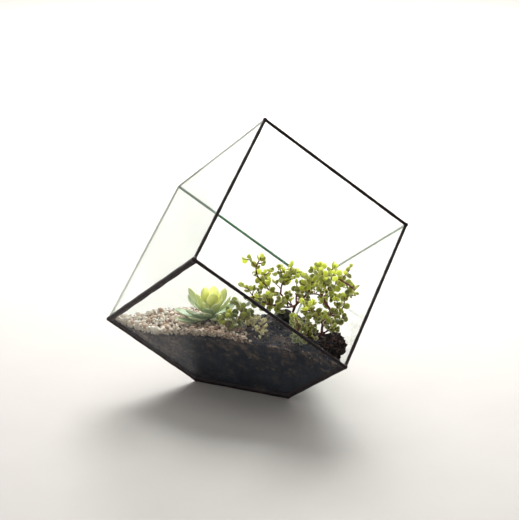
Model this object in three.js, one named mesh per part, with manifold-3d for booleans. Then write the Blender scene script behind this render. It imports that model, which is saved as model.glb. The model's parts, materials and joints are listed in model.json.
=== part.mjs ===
// A geometric glass terrarium: a cube of glass panes soldered along their edges, with one corner cut off as
// its base and one face left open. It holds soil, a patch of gravel, a small echeveria, a variegated elephant
// bush and a few sprigs. Millimetres, +Z up, origin under the middle of the whole, on the surface it stands on.
import * as THREE from "three";
import { mergeVertices } from "three/addons/utils/BufferGeometryUtils.js";
import Module from "manifold-3d";

const wasm = await Module();
wasm.setup();

// ---- Driving dimensions -------------------------------------------------------------------------------------
const SIDE = 150; // the cube's edge, glass to glass
const CUT = [58.5, 63.5, 66.5]; // how far the cut runs along the three edges of the missing corner
const HEADING = 184.8; // degrees: where the first of those edges points, seen from above
const GLASS = 2; // pane thickness
const SEAM_IN = 1.05; // from a pane's outer face in to the axis of its solder seams
const SEAM_RADIUS = 2.05; // the broad seams, which carry the base and the long lower left edge
const RIM_RADIUS = 1.4; // beads along the free edges of the open face
const LAP_RADIUS = 1.2; // the narrow seams that run down to the base
const JOINT_RADIUS = 0.9; // the far edges, where pane meets pane in a thin clear joint
const FOOT = 0.7; // the base pane's underside above the surface, held up by the flattened base seams
const GAP = 0.3; // between pieces that touch
const BAR_SIDES = 8;

const SOIL_LEVEL = 56.5;
const SOIL_GRID = 10;
const GRAVEL_GRID = 4.4;
const GRAVEL_DEPTH = 3;
const PEBBLE_PITCH = 7.6; // centre to centre of the gravel's domes
const ROOT_DEPTH = 9; // how far a rooted stem stands in its hole
const HOLE_CLEARANCE = 0.5;

const ROSETTE = { x: -38, y: -17, z: 62.5, stem: 3.2 }; // where its leaves meet, and its stem's radius
const LEAF_THICKNESS = 1.5; // elephant bush, at the middle of a leaf
const LEAF_SUNK = 0.35; // how far a leaf's root lies inside its stem
const LEAF_MIDDLE = 0.55; // the share of a leaf's length where its clearance sphere lies
const LEAF_REACH = 0.46; // that sphere's radius, as a share of the length
const NODE_PITCH = 5.4; // along a leafy stem, from one pair of leaves to the next
const TWIG_PITCH = 4.4; // the same on its side twigs
const TWIG_RADIUS = 0.45;
const STEM_SIDES = 5;
const STEM_STEP = 8; // length of a straight stretch of a stem

// ---- Materials ----------------------------------------------------------------------------------------------
const material = (color, roughness, metalness = 0, opacity = 1) =>
  new THREE.MeshStandardMaterial({ color, roughness, metalness, opacity, transparent: opacity < 1 });

const finish = {
  glass: material(0xeef6f2, 0.05, 0, 0.25),
  joint: material(0x9fb0a3, 0.15),
  solder: material(0x2a1f22, 0.45, 0.8),
  soil: material(0x241d1a, 0.95),
  gravel: material(0xa8917c, 0.9),
  stone: material(0x23282a, 0.35),
  bark: material(0x35231c, 0.9),
  rosette: material(0xa9c29a, 0.5),
  bush: material(0xa3b04a, 0.4),
  sprig: material(0x4f6b3c, 0.5),
  cover: material(0xc2b566, 0.6),
};

// ---- Small helpers ------------------------------------------------------------------------------------------
const V = (x, y, z) => new THREE.Vector3(x, y, z);
const radians = THREE.MathUtils.degToRad;
const lerp = THREE.MathUtils.lerp;

// A repeatable stream of numbers from 0 to 1.
function randomStream(seed) {
  let state = seed >>> 0;
  return () => {
    state = (state + 0x6d2b79f5) >>> 0;
    let t = state;
    t = Math.imul(t ^ (t >>> 15), t | 1);
    t ^= t + Math.imul(t ^ (t >>> 7), t | 61);
    return ((t ^ (t >>> 14)) >>> 0) / 4294967296;
  };
}

// A closed geometry as a solid that can be joined and cut.
function solidOf(geometry) {
  const bare = geometry.index ? geometry.toNonIndexed() : geometry.clone();
  bare.deleteAttribute("normal");
  bare.deleteAttribute("uv");
  const merged = mergeVertices(bare, 1e-4);
  return new wasm.Manifold(
    new wasm.Mesh({
      numProp: 3,
      vertProperties: new Float32Array(merged.attributes.position.array),
      triVerts: new Uint32Array(merged.index.array),
    }),
  );
}

const fuse = (solids) => solids.reduce((whole, next) => whole.add(next));

// The largest of a solid's separate bodies: loose scraps go, and hollows sealed by fusing are filled.
const oneBody = (solid) => solid.decompose().sort((a, b) => b.volume() - a.volume())[0];

function geometryOf(solid) {
  const mesh = solid.getMesh();
  const position = new Float32Array(mesh.numVert * 3);
  for (let i = 0; i < mesh.numVert; i++) {
    position.set(mesh.vertProperties.subarray(i * mesh.numProp, i * mesh.numProp + 3), i * 3);
  }
  const geometry = new THREE.BufferGeometry();
  geometry.setAttribute("position", new THREE.BufferAttribute(position, 3));
  geometry.setIndex(new THREE.BufferAttribute(new Uint32Array(mesh.triVerts), 1));
  geometry.computeVertexNormals();
  return geometry;
}

const terrarium = new THREE.Group();
terrarium.name = "terrarium";

function addPiece(name, geometry, pieceMaterial) {
  const mesh = new THREE.Mesh(geometry, pieceMaterial);
  mesh.name = name;
  terrarium.add(mesh);
  return mesh;
}

// A closed skin over rings of points, each with as many points as the next, with a cap at both ends.
function skin(rings) {
  const sides = rings[0].length;
  const points = rings.flat();
  const index = [];
  for (let r = 0; r + 1 < rings.length; r++) {
    for (let s = 0; s < sides; s++) {
      const a = r * sides + s;
      const b = r * sides + ((s + 1) % sides);
      index.push(a, b, b + sides, a, b + sides, a + sides);
    }
  }
  const last = (rings.length - 1) * sides;
  for (let s = 1; s + 1 < sides; s++) {
    index.push(0, s + 1, s, last, last + s, last + s + 1);
  }
  const geometry = new THREE.BufferGeometry().setFromPoints(points);
  geometry.setIndex(index);
  return geometry;
}

// A tube of constant radius along a smooth curve through the points.
function tube(points, radius, sides, stepLength) {
  const curve = new THREE.CatmullRomCurve3(points, false, "centripetal");
  const section = new THREE.Shape();
  for (let s = 0; s < sides; s++) {
    const turn = (s / sides) * 2 * Math.PI;
    const [x, y] = [radius * Math.cos(turn), radius * Math.sin(turn)];
    if (s) section.lineTo(x, y);
    else section.moveTo(x, y);
  }
  section.closePath();
  const steps = Math.max(2, Math.round(curve.getLength() / stepLength));
  return new THREE.ExtrudeGeometry(section, { steps, extrudePath: curve, curveSegments: 1 });
}

// ---- The cut cube -------------------------------------------------------------------------------------------
// In the cube's own frame the missing corner is at the origin and the axes run along its three edges.
const cutNormal = V(1 / CUT[0], 1 / CUT[1], 1 / CUT[2]);
const up = cutNormal.clone().normalize();
const ahead = V(1, 0, 0).addScaledVector(up, -up.x).normalize();
const aside = up.clone().cross(ahead);
const turn = radians(HEADING);
const rowX = ahead.clone().multiplyScalar(Math.cos(turn)).addScaledVector(aside, -Math.sin(turn));
const rowY = ahead.clone().multiplyScalar(Math.sin(turn)).addScaledVector(aside, Math.cos(turn));

const spin = (p) => V(rowX.dot(p), rowY.dot(p), up.dot(p)); // the cube's frame turned into the part's

// Each face plane, by its outward normal and distance, in the cube's frame.
const faces = {
  left: { normal: V(1, 0, 0), distance: SIDE },
  open: { normal: V(0, 1, 0), distance: SIDE },
  top: { normal: V(0, 0, 1), distance: SIDE },
  right: { normal: V(-1, 0, 0), distance: 0 },
  back: { normal: V(0, -1, 0), distance: 0 },
  lower: { normal: V(0, 0, -1), distance: 0 },
  base: { normal: up.clone().negate(), distance: -1 / cutNormal.length() },
};

const corners = {
  A: ["left", "open", "top"],
  B: ["right", "open", "top"],
  C: ["right", "open", "lower"],
  D: ["left", "open", "lower"],
  E: ["left", "back", "lower"],
  F: ["left", "back", "top"],
  G: ["right", "back", "top"],
  P: ["back", "lower", "base"],
  Q: ["right", "lower", "base"],
  R: ["right", "back", "base"],
};

// Where three faces meet, each moved inwards by the same amount, before the part is centred.
function meeting(names, inset) {
  const [a, b, c] = names.map((name) => faces[name]);
  const rows = new THREE.Matrix3().set(
    a.normal.x, a.normal.y, a.normal.z,
    b.normal.x, b.normal.y, b.normal.z,
    c.normal.x, c.normal.y, c.normal.z,
  );
  const right = V(a.distance - inset, b.distance - inset, c.distance - inset);
  return spin(right.applyMatrix3(rows.invert()));
}

// The glass corners give the middle of the whole and the height of the base pane.
const glassCorner = (name) => meeting(corners[name], 0);
const home = V(
  -(glassCorner("B").x + glassCorner("E").x) / 2,
  -(glassCorner("D").y + glassCorner("G").y) / 2,
  FOOT - glassCorner("P").z,
);
const axisPoint = {};
for (const name of Object.keys(corners)) {
  axisPoint[name] = meeting(corners[name], SEAM_IN).add(home);
}
// Each face as an outward normal and distance in the part's frame.
const wall = {};
for (const [name, face] of Object.entries(faces)) {
  const normal = spin(face.normal);
  const onFace = spin(face.normal.clone().multiplyScalar(face.distance)).add(home);
  wall[name] = { normal, distance: normal.dot(onFace) };
}

// ---- Seams --------------------------------------------------------------------------------------------------
// Solder along the rim, the lower edges and the base, and clear glue along the edges of the two far corners.
const seams = [
  { name: "rim_bead_upper_right", ends: "AB", radius: RIM_RADIUS },
  { name: "rim_bead_lower_right", ends: "BC", radius: RIM_RADIUS },
  { name: "rim_bead_lower_left", ends: "CD", radius: RIM_RADIUS },
  { name: "rim_bead_upper_left", ends: "DA", radius: RIM_RADIUS },
  { name: "seam_left_lower", ends: "DE", radius: SEAM_RADIUS },
  { name: "seam_left_back", ends: "EF", radius: JOINT_RADIUS },
  { name: "seam_left_top", ends: "FA", radius: JOINT_RADIUS },
  { name: "seam_top_back", ends: "FG", radius: JOINT_RADIUS },
  { name: "seam_top_right", ends: "BG", radius: JOINT_RADIUS },
  { name: "seam_back_lower", ends: "EP", radius: LAP_RADIUS },
  { name: "seam_right_lower", ends: "CQ", radius: LAP_RADIUS },
  { name: "seam_right_back", ends: "GR", radius: JOINT_RADIUS },
  { name: "base_seam_front", ends: "PQ", radius: SEAM_RADIUS },
  { name: "base_seam_right", ends: "QR", radius: SEAM_RADIUS },
  { name: "base_seam_back", ends: "RP", radius: SEAM_RADIUS },
];

const radiusBetween = (a, b) => seams.find((s) => s.ends === a + b || s.ends === b + a).radius;

// A straight prism round the seam's axis, mitred against the other seams at both ends and flat underneath.
function seamBar(seam) {
  const [a, b] = seam.ends;
  const overrun = 4 * SEAM_RADIUS;
  const along = axisPoint[b].clone().sub(axisPoint[a]);
  const length = along.length();
  const bar = new THREE.CylinderGeometry(seam.radius, seam.radius, length + 2 * overrun, BAR_SIDES);
  bar.applyQuaternion(new THREE.Quaternion().setFromUnitVectors(V(0, 1, 0), along.clone().normalize()));
  const middle = axisPoint[a].clone().add(axisPoint[b]).multiplyScalar(0.5);
  bar.translate(middle.x, middle.y, middle.z);
  let solid = solidOf(bar);
  for (const [corner, far] of [[a, b], [b, a]]) {
    const own = axisPoint[far].clone().sub(axisPoint[corner]).normalize();
    for (const other of seams.filter((s) => s !== seam && s.ends.includes(corner))) {
      const end = other.ends.replace(corner, "");
      const direction = axisPoint[end].clone().sub(axisPoint[corner]).normalize();
      const mitre = own.clone().sub(direction).normalize();
      solid = solid.trimByPlane(mitre.toArray(), mitre.dot(axisPoint[corner]) + GAP / 2);
    }
  }
  return solid.trimByPlane([0, 0, 1], 0);
}

for (const seam of seams) {
  addPiece(seam.name, geometryOf(seamBar(seam)), seam.radius === JOINT_RADIUS ? finish.joint : finish.solder);
}

// ---- Panes --------------------------------------------------------------------------------------------------
const panes = [
  { name: "pane_left", face: "left", outline: "ADEF" },
  { name: "pane_top", face: "top", outline: "ABGF" },
  { name: "pane_lower", face: "lower", outline: "DCQPE" },
  { name: "pane_right", face: "right", outline: "BCQRG" },
  { name: "pane_back", face: "back", outline: "EFGRP" },
  { name: "pane_base", face: "base", outline: "PQR" },
];

// Where two lines in the plane cross: each is a point and a direction.
function crossing(p, u, q, w) {
  const across = u.cross(w);
  const t = q.clone().sub(p).cross(w) / across;
  return p.clone().addScaledVector(u, t);
}

// A pane stops just short of the beads along its edges. It is drawn in its own plane and turned into place.
function addPane(pane) {
  const outward = wall[pane.face].normal;
  const names = [...pane.outline];
  const origin = axisPoint[names[0]].clone().addScaledVector(outward, SEAM_IN);
  const inward = outward.clone().negate();
  const across = axisPoint[names[1]].clone().sub(axisPoint[names[0]]).normalize();
  const upward = inward.clone().cross(across);
  const flat = names.map((name) => {
    const from = axisPoint[name].clone().sub(origin);
    return new THREE.Vector2(from.dot(across), from.dot(upward));
  });
  if (THREE.ShapeUtils.area(flat) < 0) {
    flat.reverse();
    names.reverse();
  }
  const edges = flat.map((p, i) => {
    const next = (i + 1) % flat.length;
    const direction = flat[next].clone().sub(p).normalize();
    const inset = radiusBetween(names[i], names[next]) + GAP;
    const shifted = p.clone().add(new THREE.Vector2(-direction.y, direction.x).multiplyScalar(inset));
    return [shifted, direction];
  });
  const outline = edges.map((edge, i) => crossing(...edges.at(i - 1), ...edge));
  const geometry = new THREE.ExtrudeGeometry(new THREE.Shape(outline), { depth: GLASS, bevelEnabled: false });
  const mesh = addPiece(pane.name, geometry, finish.glass);
  mesh.applyMatrix4(new THREE.Matrix4().makeBasis(across, upward, inward).setPosition(origin));
}

panes.forEach(addPane);

// ---- Ground -------------------------------------------------------------------------------------------------
const SCOOP_DEPTH = 17; // how much lower the soil lies behind the bush on the right
const hill = (x, y, cx, cy, spread, height) =>
  height * Math.exp(-((x - cx) ** 2 + (y - cy) ** 2) / (2 * spread ** 2));

const ripple = (x, y) =>
  0.5 * Math.sin(0.31 * x + 0.9) * Math.cos(0.27 * y) + 0.4 * Math.sin(0.53 * x - 0.41 * y + 2.1);

// The soil is mounded under the plants, falls away to the near left and towards the rim's lowest corner, and
// slopes down to the back, most of all behind the bush on the right.
function soilHeight(x, y) {
  const behind = Math.max(0, y + 8) * THREE.MathUtils.clamp(0.2 + (x + 80) / 280, 0.2, 0.42);
  const scooped = SCOOP_DEPTH * THREE.MathUtils.smoothstep(x, 32, 52) * THREE.MathUtils.smoothstep(y, -52, -10);
  return (
    SOIL_LEVEL -
    behind -
    scooped +
    hill(x, y, 22, -22, 30, 3.5) +
    hill(x, y, -88, -24, 22, -9) +
    hill(x, y, 69, -100, 17, -8) +
    ripple(x, y)
  );
}

// The soil's surface as its coarse grid draws it, so that what lies on it follows the same facets.
function soilFacet(x, y) {
  const gx = Math.floor(x / SOIL_GRID);
  const gy = Math.floor(y / SOIL_GRID);
  const [u, v] = [x / SOIL_GRID - gx, y / SOIL_GRID - gy];
  const at = (i, j) => soilHeight((gx + i) * SOIL_GRID, (gy + j) * SOIL_GRID);
  const corner = at(0, 0);
  if (u > v) return corner + (at(1, 0) - corner) * u + (at(1, 1) - at(1, 0)) * v;
  return corner + (at(1, 1) - at(0, 1)) * u + (at(0, 1) - corner) * v;
}

// 1 where gravel covers the soil, 0 past its edge, which runs from the back left to the near right.
const gravelEdge = (x, y) => -16 - 0.25 * (y + 20) + 3 * Math.sin(0.22 * y) - x;
const gravelCover = (x, y) => THREE.MathUtils.clamp(gravelEdge(x, y) / 12, 0, 1);

// Rounded domes on a jittered grid, the highest one at each point.
function pebbleRelief(x, y) {
  const [ci, cj] = [Math.round(x / PEBBLE_PITCH), Math.round(y / PEBBLE_PITCH)];
  let highest = 0;
  for (let i = ci - 1; i <= ci + 1; i++) {
    for (let j = cj - 1; j <= cj + 1; j++) {
      const wobble = Math.sin(12.9 * i + 78.2 * j) * 43.7;
      const [jx, jy] = [Math.sin(wobble) * 0.28, Math.cos(1.7 * wobble) * 0.28];
      const size = 0.42 + 0.16 * Math.sin(2.3 * wobble);
      const gap = Math.hypot(x / PEBBLE_PITCH - i - jx, y / PEBBLE_PITCH - j - jy) / size;
      if (gap < 1) highest = Math.max(highest, PEBBLE_PITCH * size * Math.sqrt(1 - gap * gap));
    }
  }
  return highest;
}

const gravelTop = (x, y) => {
  const cover = gravelCover(x, y);
  const relief = pebbleRelief(x, y) * (1 - hill(x, y, ROSETTE.x, ROSETTE.y, 18, 1));
  return soilFacet(x, y) + GAP + (cover > 0 ? cover * (GRAVEL_DEPTH + relief) + 0.1 : -1.5);
};

// A closed block from the height of a function down to the surface, over whole cells of a grid.
function heightBlock(height, lowX, highX, lowY, highY, cell) {
  const [x0, x1] = [Math.floor(lowX / cell), Math.ceil(highX / cell)];
  const [y0, y1] = [Math.floor(lowY / cell), Math.ceil(highY / cell)];
  const across = x1 - x0 + 1;
  const layer = across * (y1 - y0 + 1);
  const points = [];
  for (const top of [false, true]) {
    for (let j = y0; j <= y1; j++) {
      for (let i = x0; i <= x1; i++) {
        points.push(V(i * cell, j * cell, top ? height(i * cell, j * cell) : 0));
      }
    }
  }
  const index = [];
  for (let j = 0; j < y1 - y0; j++) {
    for (let i = 0; i < x1 - x0; i++) {
      const a = j * across + i;
      const [b, c, d] = [a + 1, a + across + 1, a + across];
      index.push(a, c, b, a, d, c);
      index.push(a + layer, b + layer, c + layer, a + layer, c + layer, d + layer);
      if (j === 0) index.push(a, b, b + layer, a, b + layer, a + layer);
      if (j === y1 - y0 - 1) index.push(c, d, d + layer, c, d + layer, c + layer);
      if (i === 0) index.push(d, a, a + layer, d, a + layer, d + layer);
      if (i === x1 - x0 - 1) index.push(b, c, c + layer, b, c + layer, b + layer);
    }
  }
  const geometry = new THREE.BufferGeometry().setFromPoints(points);
  geometry.setIndex(index);
  return solidOf(geometry);
}

// Keeps a solid inside the glass and clear of every seam.
function keepInside(solid) {
  let kept = solid;
  for (const [name, face] of Object.entries(wall)) {
    if (name === "open") continue;
    const inward = face.normal.clone().negate();
    kept = kept.trimByPlane(inward.toArray(), GLASS + GAP - face.distance);
  }
  for (const seam of seams) {
    const [a, b] = seam.ends;
    const shared = corners[a].filter((face) => corners[b].includes(face));
    const inward = V(0, 0, 0);
    shared.forEach((face) => inward.sub(wall[face].normal));
    inward.normalize();
    kept = kept.trimByPlane(inward.toArray(), inward.dot(axisPoint[a]) + seam.radius + GAP);
  }
  return kept;
}

const groundSpan = [-126, 126, -112, 112];

// ---- Leaves and stems ---------------------------------------------------------------------------------------
// Everything a leaf must not run into: points with a radius, each with the piece that it belongs to.
const taken = [];
const OWN_CLOSENESS = 0.62; // leaves of one stem may stand this much closer than their full size

const take = (piece, center, radius, leaf = false) => taken.push({ piece, center, radius, leaf });

function isFree(piece, center, radius) {
  const inGlass = Object.entries(wall).every(([name, face]) => {
    const clearance = name === "open" ? GAP : GLASS + GAP;
    return face.normal.dot(center) <= face.distance - clearance - radius;
  });
  if (!inGlass) return false;
  const { x, y, z } = center;
  const beside = [[0, 0], [1, 0], [-1, 0], [0, 1], [0, -1]].map(([i, j]) => [x + i * radius, y + j * radius]);
  const ground = Math.max(...beside.map(([px, py]) => Math.max(soilFacet(px, py), gravelTop(px, py))));
  if (z - 0.9 * radius < ground + GAP) return false;
  return taken.every((t) => {
    const away = t.center.distanceTo(center);
    if (t.piece !== piece) return away >= t.radius + radius + GAP;
    return !t.leaf || away >= OWN_CLOSENESS * (t.radius + radius);
  });
}

// A thick leaf as a lens: a five-sided rim, pointed at the root and broad at the tip, and an apex each side.
function spoonLeaf(root, along, face, length, width, thickness) {
  const normal = face.clone().addScaledVector(along, -face.dot(along)).normalize();
  const side = normal.clone().cross(along);
  const at = (t, s, n) =>
    root.clone().addScaledVector(along, t * length).addScaledVector(side, s * width).addScaledVector(normal, n);
  const rim = [at(0, 0, 0), at(0.5, 0.5, 0), at(0.95, 0.32, 0), at(0.95, -0.32, 0), at(0.5, -0.5, 0)];
  const points = [...rim, at(0.6, 0, thickness / 2), at(0.6, 0, -thickness / 2)];
  const index = [];
  rim.forEach((_, i) => {
    const next = (i + 1) % rim.length;
    index.push(i, rim.length, next, i, next, rim.length + 1);
  });
  const geometry = new THREE.BufferGeometry().setFromPoints(points);
  geometry.setIndex(index);
  return solidOf(geometry);
}

// The stems of the bush, by hand: where each runs, how thick it is, from which share of its length it is leafy,
// how many side twigs it has and what it grows from.
const bushStems = [
  {
    name: "bush_stem_main", radius: 0.95, leafy: 0.55, twigs: 5, seed: 11, leaf: 7,
    route: [[28, -10, 48], [28, -10, 57], [30, -12, 66], [32, -14, 71], [40, -18, 81], [46, -23, 93],
      [51, -26, 99], [57, -29, 103]],
  },
  {
    name: "bush_stem_near", radius: 1, leafy: 0.62, twigs: 6, seed: 23, leaf: 6.6,
    route: [[44, -56, 47], [44, -56, 55], [51, -55, 61], [52, -54, 67], [58, -52, 75], [58, -49, 79],
      [54, -46, 85], [51, -42, 95], [60, -43, 104], [71, -48, 101], [76, -51, 98]],
  },
  {
    name: "bush_branch_left", radius: 0.7, leafy: 0.3, twigs: 4, seed: 37, leaf: 6.8, parent: 0,
    route: [[31.5, -13.6, 70], [26, -18, 70], [16, -23, 73], [4, -27, 78], [-1, -30, 82], [-8, -33, 84]],
  },
  {
    name: "bush_branch_tall", radius: 0.7, leafy: 0.3, twigs: 3, seed: 41, leaf: 6.4, pitch: 7, parent: 0,
    route: [[30.4, -12.3, 67], [24, -7, 71], [19, -6, 77], [10, -5, 80], [6, -5, 85], [0, -6, 93],
      [-1, -8, 101], [3, -9, 110]],
  },
  {
    name: "bush_branch_second", radius: 0.6, leafy: 0.2, twigs: 3, seed: 47, leaf: 6.4, parent: 3,
    route: [[19, -6, 77], [20, -4, 84], [23, -4, 91], [28, -6, 97]],
  },
  {
    name: "bush_branch_middle", radius: 0.65, leafy: 0.35, twigs: 3, seed: 53, leaf: 6.2, parent: 0,
    route: [[32, -14, 71], [32, -8, 76], [35, -3, 81], [43, 1, 87]],
  },
  {
    name: "bush_branch_crossing", radius: 0.6, leafy: 0.4, twigs: 2, seed: 59, leaf: 6, parent: 0,
    route: [[40, -18, 81], [47, -14, 80], [55, -11, 77], [62, -12, 78]],
  },
  {
    name: "bush_branch_front", radius: 0.65, leafy: 0.35, twigs: 4, seed: 61, leaf: 6.2, parent: 1,
    route: [[52, -54, 67], [51, -60, 73], [49, -64, 80], [44, -66, 85], [37, -68, 85]],
  },
  {
    name: "bush_branch_right", radius: 0.65, leafy: 0.25, twigs: 4, seed: 71, leaf: 5.6, parent: 1,
    route: [[58, -52, 75], [65, -46, 75], [69, -43, 80], [70, -41, 87]],
  },
  {
    name: "bush_branch_low", radius: 0.65, leafy: 0.3, twigs: 3, seed: 83, leaf: 6.2, parent: 1,
    route: [[46.5, -55.5, 58], [42, -62, 62], [37, -68, 65], [31, -74, 68]],
  },
  {
    name: "bush_branch_side", radius: 0.65, leafy: 0.2, twigs: 2, seed: 91, leaf: 6.4, pitch: 5.6, parent: 1,
    route: [[50.5, -55, 60.5], [57, -50, 62], [64, -44, 65], [69, -40, 70]],
  },
];

const sprigs = [
  {
    name: "sprig_dark", radius: 0.8, leafy: 0.5, twigs: 3, seed: 97, leaf: 8, pitch: 5,
    route: [[-16, -34, 46], [-16, -34, 56], [-16, -34, 62], [-14, -33, 68], [-12, -31, 74]],
  },
  {
    name: "sprig_dark_trailing", radius: 0.7, leafy: 0.6, twigs: 3, seed: 101, leaf: 7.5, pitch: 5,
    route: [[-22, -44, 46], [-22, -44, 57], [-24, -45, 63], [-28, -46, 67]],
  },
  {
    name: "sprig_pale", radius: 0.6, leafy: 0.62, twigs: 3, seed: 107, leaf: 3.6, pitch: 4,
    route: [[-5, -32, 48], [-5, -32, 58], [-6, -34, 61], [-9, -37, 62]],
  },
  {
    name: "sprig_pale_small", radius: 0.6, leafy: 0.62, twigs: 3, seed: 113, leaf: 3.4, pitch: 4,
    route: [[0, -42, 48], [0, -42, 58], [2, -44, 61], [5, -47, 62]],
  },
];

const pointsOf = (route) => route.map((p) => V(...p));

// A branch starts a gap away from the surface of the stem that carries it.
function stemPoints(stem) {
  const points = pointsOf(stem.route);
  if (stem.parent !== undefined) {
    const outward = points[1].clone().sub(points[0]).normalize();
    points[0].addScaledVector(outward, bushStems[stem.parent].radius + 1.5 * GAP);
  }
  return points;
}

for (const stem of [...bushStems, ...sprigs]) {
  const curve = new THREE.CatmullRomCurve3(stemPoints(stem), false, "centripetal");
  const count = Math.ceil(curve.getLength() / 2);
  for (let i = 0; i <= count; i++) {
    take(stem.name, curve.getPointAt(i / count), stem.radius);
  }
}

// A unit vector at right angles to a direction, turned round it.
function around(direction, angle) {
  const helper = Math.abs(direction.z) < 0.9 ? V(0, 0, 1) : V(1, 0, 0);
  const first = helper.clone().cross(direction).normalize();
  const second = direction.clone().cross(first);
  return first.multiplyScalar(Math.cos(angle)).addScaledVector(second, Math.sin(angle));
}

// Pairs of leaves along a curve, each pair a quarter turn from the last, and one leaf at the very tip.
function leavesAlong(name, curve, from, pitch, leafLength, random) {
  const leaves = [];
  const length = curve.getLength();
  const pairs = Math.max(1, Math.round((length * (1 - from)) / pitch));
  const spot = (root, along, size) => {
    const center = root.clone().addScaledVector(along, size * LEAF_MIDDLE);
    if (!isFree(name, center, size * LEAF_REACH)) return;
    take(name, center, size * LEAF_REACH, true);
    const face = V(1.2 * (random() - 0.5), -0.2 - random(), 1.1 * random()).normalize();
    const width = size * lerp(0.82, 0.98, random());
    const sunk = root.clone().addScaledVector(along, -LEAF_SUNK);
    leaves.push(spoonLeaf(sunk, along, face, size, width, LEAF_THICKNESS));
  };
  const start = random() * Math.PI;
  for (let i = 0; i < pairs; i++) {
    const t = Math.min(0.98, from + ((i + 0.6) / pairs) * (1 - from));
    const tangent = curve.getTangentAt(t);
    const root = curve.getPointAt(t);
    for (const turned of [0, Math.PI]) {
      const spread = around(tangent, start + (i * Math.PI) / 2 + turned + 0.5 * (random() - 0.5));
      const along = spread.addScaledVector(tangent, lerp(0.25, 0.7, random())).add(V(0, 0, 0.15)).normalize();
      spot(root, along, leafLength * lerp(0.72, 1.08, random()));
    }
  }
  const end = curve.getTangentAt(1);
  spot(curve.getPointAt(1).addScaledVector(end, -0.5), end, leafLength * 0.7);
  return leaves;
}

// A leafy stem with its side twigs, fused into one body.
function leafyStem(stem) {
  const random = randomStream(stem.seed);
  const points = stemPoints(stem);
  const curve = new THREE.CatmullRomCurve3(points, false, "centripetal");
  const solids = [solidOf(tube(points, stem.radius, STEM_SIDES, STEM_STEP))];
  for (let i = 0; i < stem.twigs; i++) {
    const t = lerp(stem.leafy, 0.96, (i + 0.5 * random()) / stem.twigs);
    const tangent = curve.getTangentAt(t);
    const root = curve.getPointAt(t);
    const out = around(tangent, random() * 2 * Math.PI).addScaledVector(tangent, 0.5);
    out.add(V(0, 0, 0.45)).normalize();
    const reach = lerp(7, 14, random());
    const tip = root.clone().addScaledVector(out, reach).add(V(0, 0, 0.12 * reach));
    const middle = root.clone().lerp(tip, 0.5).add(V(0, 0, -0.06 * reach));
    if (!isFree(stem.name, tip, 1.2) || !isFree(stem.name, middle, 1)) continue;
    const twigPoints = [root, middle, tip];
    take(stem.name, tip, 0.8);
    take(stem.name, middle, 0.8);
    solids.push(solidOf(tube(twigPoints, TWIG_RADIUS, 4, 8)));
    const twig = new THREE.CatmullRomCurve3(twigPoints, false, "centripetal");
    solids.push(...leavesAlong(stem.name, twig, 0.35, stem.pitch ?? TWIG_PITCH, stem.leaf * 0.92, random));
  }
  solids.push(...leavesAlong(stem.name, curve, stem.leafy, stem.pitch ?? NODE_PITCH, stem.leaf, random));
  return oneBody(fuse(solids));
}

// ---- Echeveria ----------------------------------------------------------------------------------------------
const LEAF_KEEL = 2.8; // how far a fleshy leaf may reach below its middle line
const LEAF_CURL = 14; // degrees that a leaf turns upward from its root to its tip

// Each leaf: compass angle, rise above level (degrees), length and width.
const rosetteLeaves = [
  [156, 30, 28, 10], [146, 15, 26, 10], [138, 56, 22, 11.5], [59, 62, 22.5, 10.5], [-62, 66, 18, 11],
  [40, 36, 24, 10.5], [-7, 30, 22, 10.5], [188, -1, 30, 13], [205, 6, 24, 11.5], [212, -12, 32, 12],
  [232, -14, 27, 12], [-74, -4, 22, 10], [96, 26, 24, 10], [76, 10, 24, 10], [118, 6, 24, 10],
  [19, 8, 23, 10], [-36, 6, 23, 10], [-104, 10, 20, 10], [100, 74, 13, 7], [222, 68, 13, 7.5], [340, 74, 12, 7],
];

// A fleshy leaf: five-sided sections along a line that curls up a little, widest past the middle.
function fleshyLeaf(center, compass, rise, length, width) {
  const flat = V(Math.cos(radians(compass)), Math.sin(radians(compass)), 0);
  const sideways = V(-flat.y, flat.x, 0);
  const stations = [[0.08, 0.34, 2.2], [0.38, 0.74, 2.7], [0.7, 1, 2.2], [1, 0.1, 0.8]];
  const rings = stations.map(([t, w, thick]) => {
    const lift = radians(rise + LEAF_CURL * t * t);
    const axis = flat.clone().multiplyScalar(Math.cos(lift)).add(V(0, 0, Math.sin(lift)));
    const normal = flat.clone().multiplyScalar(-Math.sin(lift)).add(V(0, 0, Math.cos(lift)));
    const middle = center.clone().addScaledVector(axis, t * length);
    const half = (w * width) / 2;
    return [[1, 0.25], [0.45, -0.05], [-0.45, -0.05], [-1, 0.25], [0, -0.85]].map(([s, n]) =>
      middle.clone().addScaledVector(sideways, s * half).addScaledVector(normal, n * thick * 0.8),
    );
  });
  return solidOf(skin(rings));
}

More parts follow.
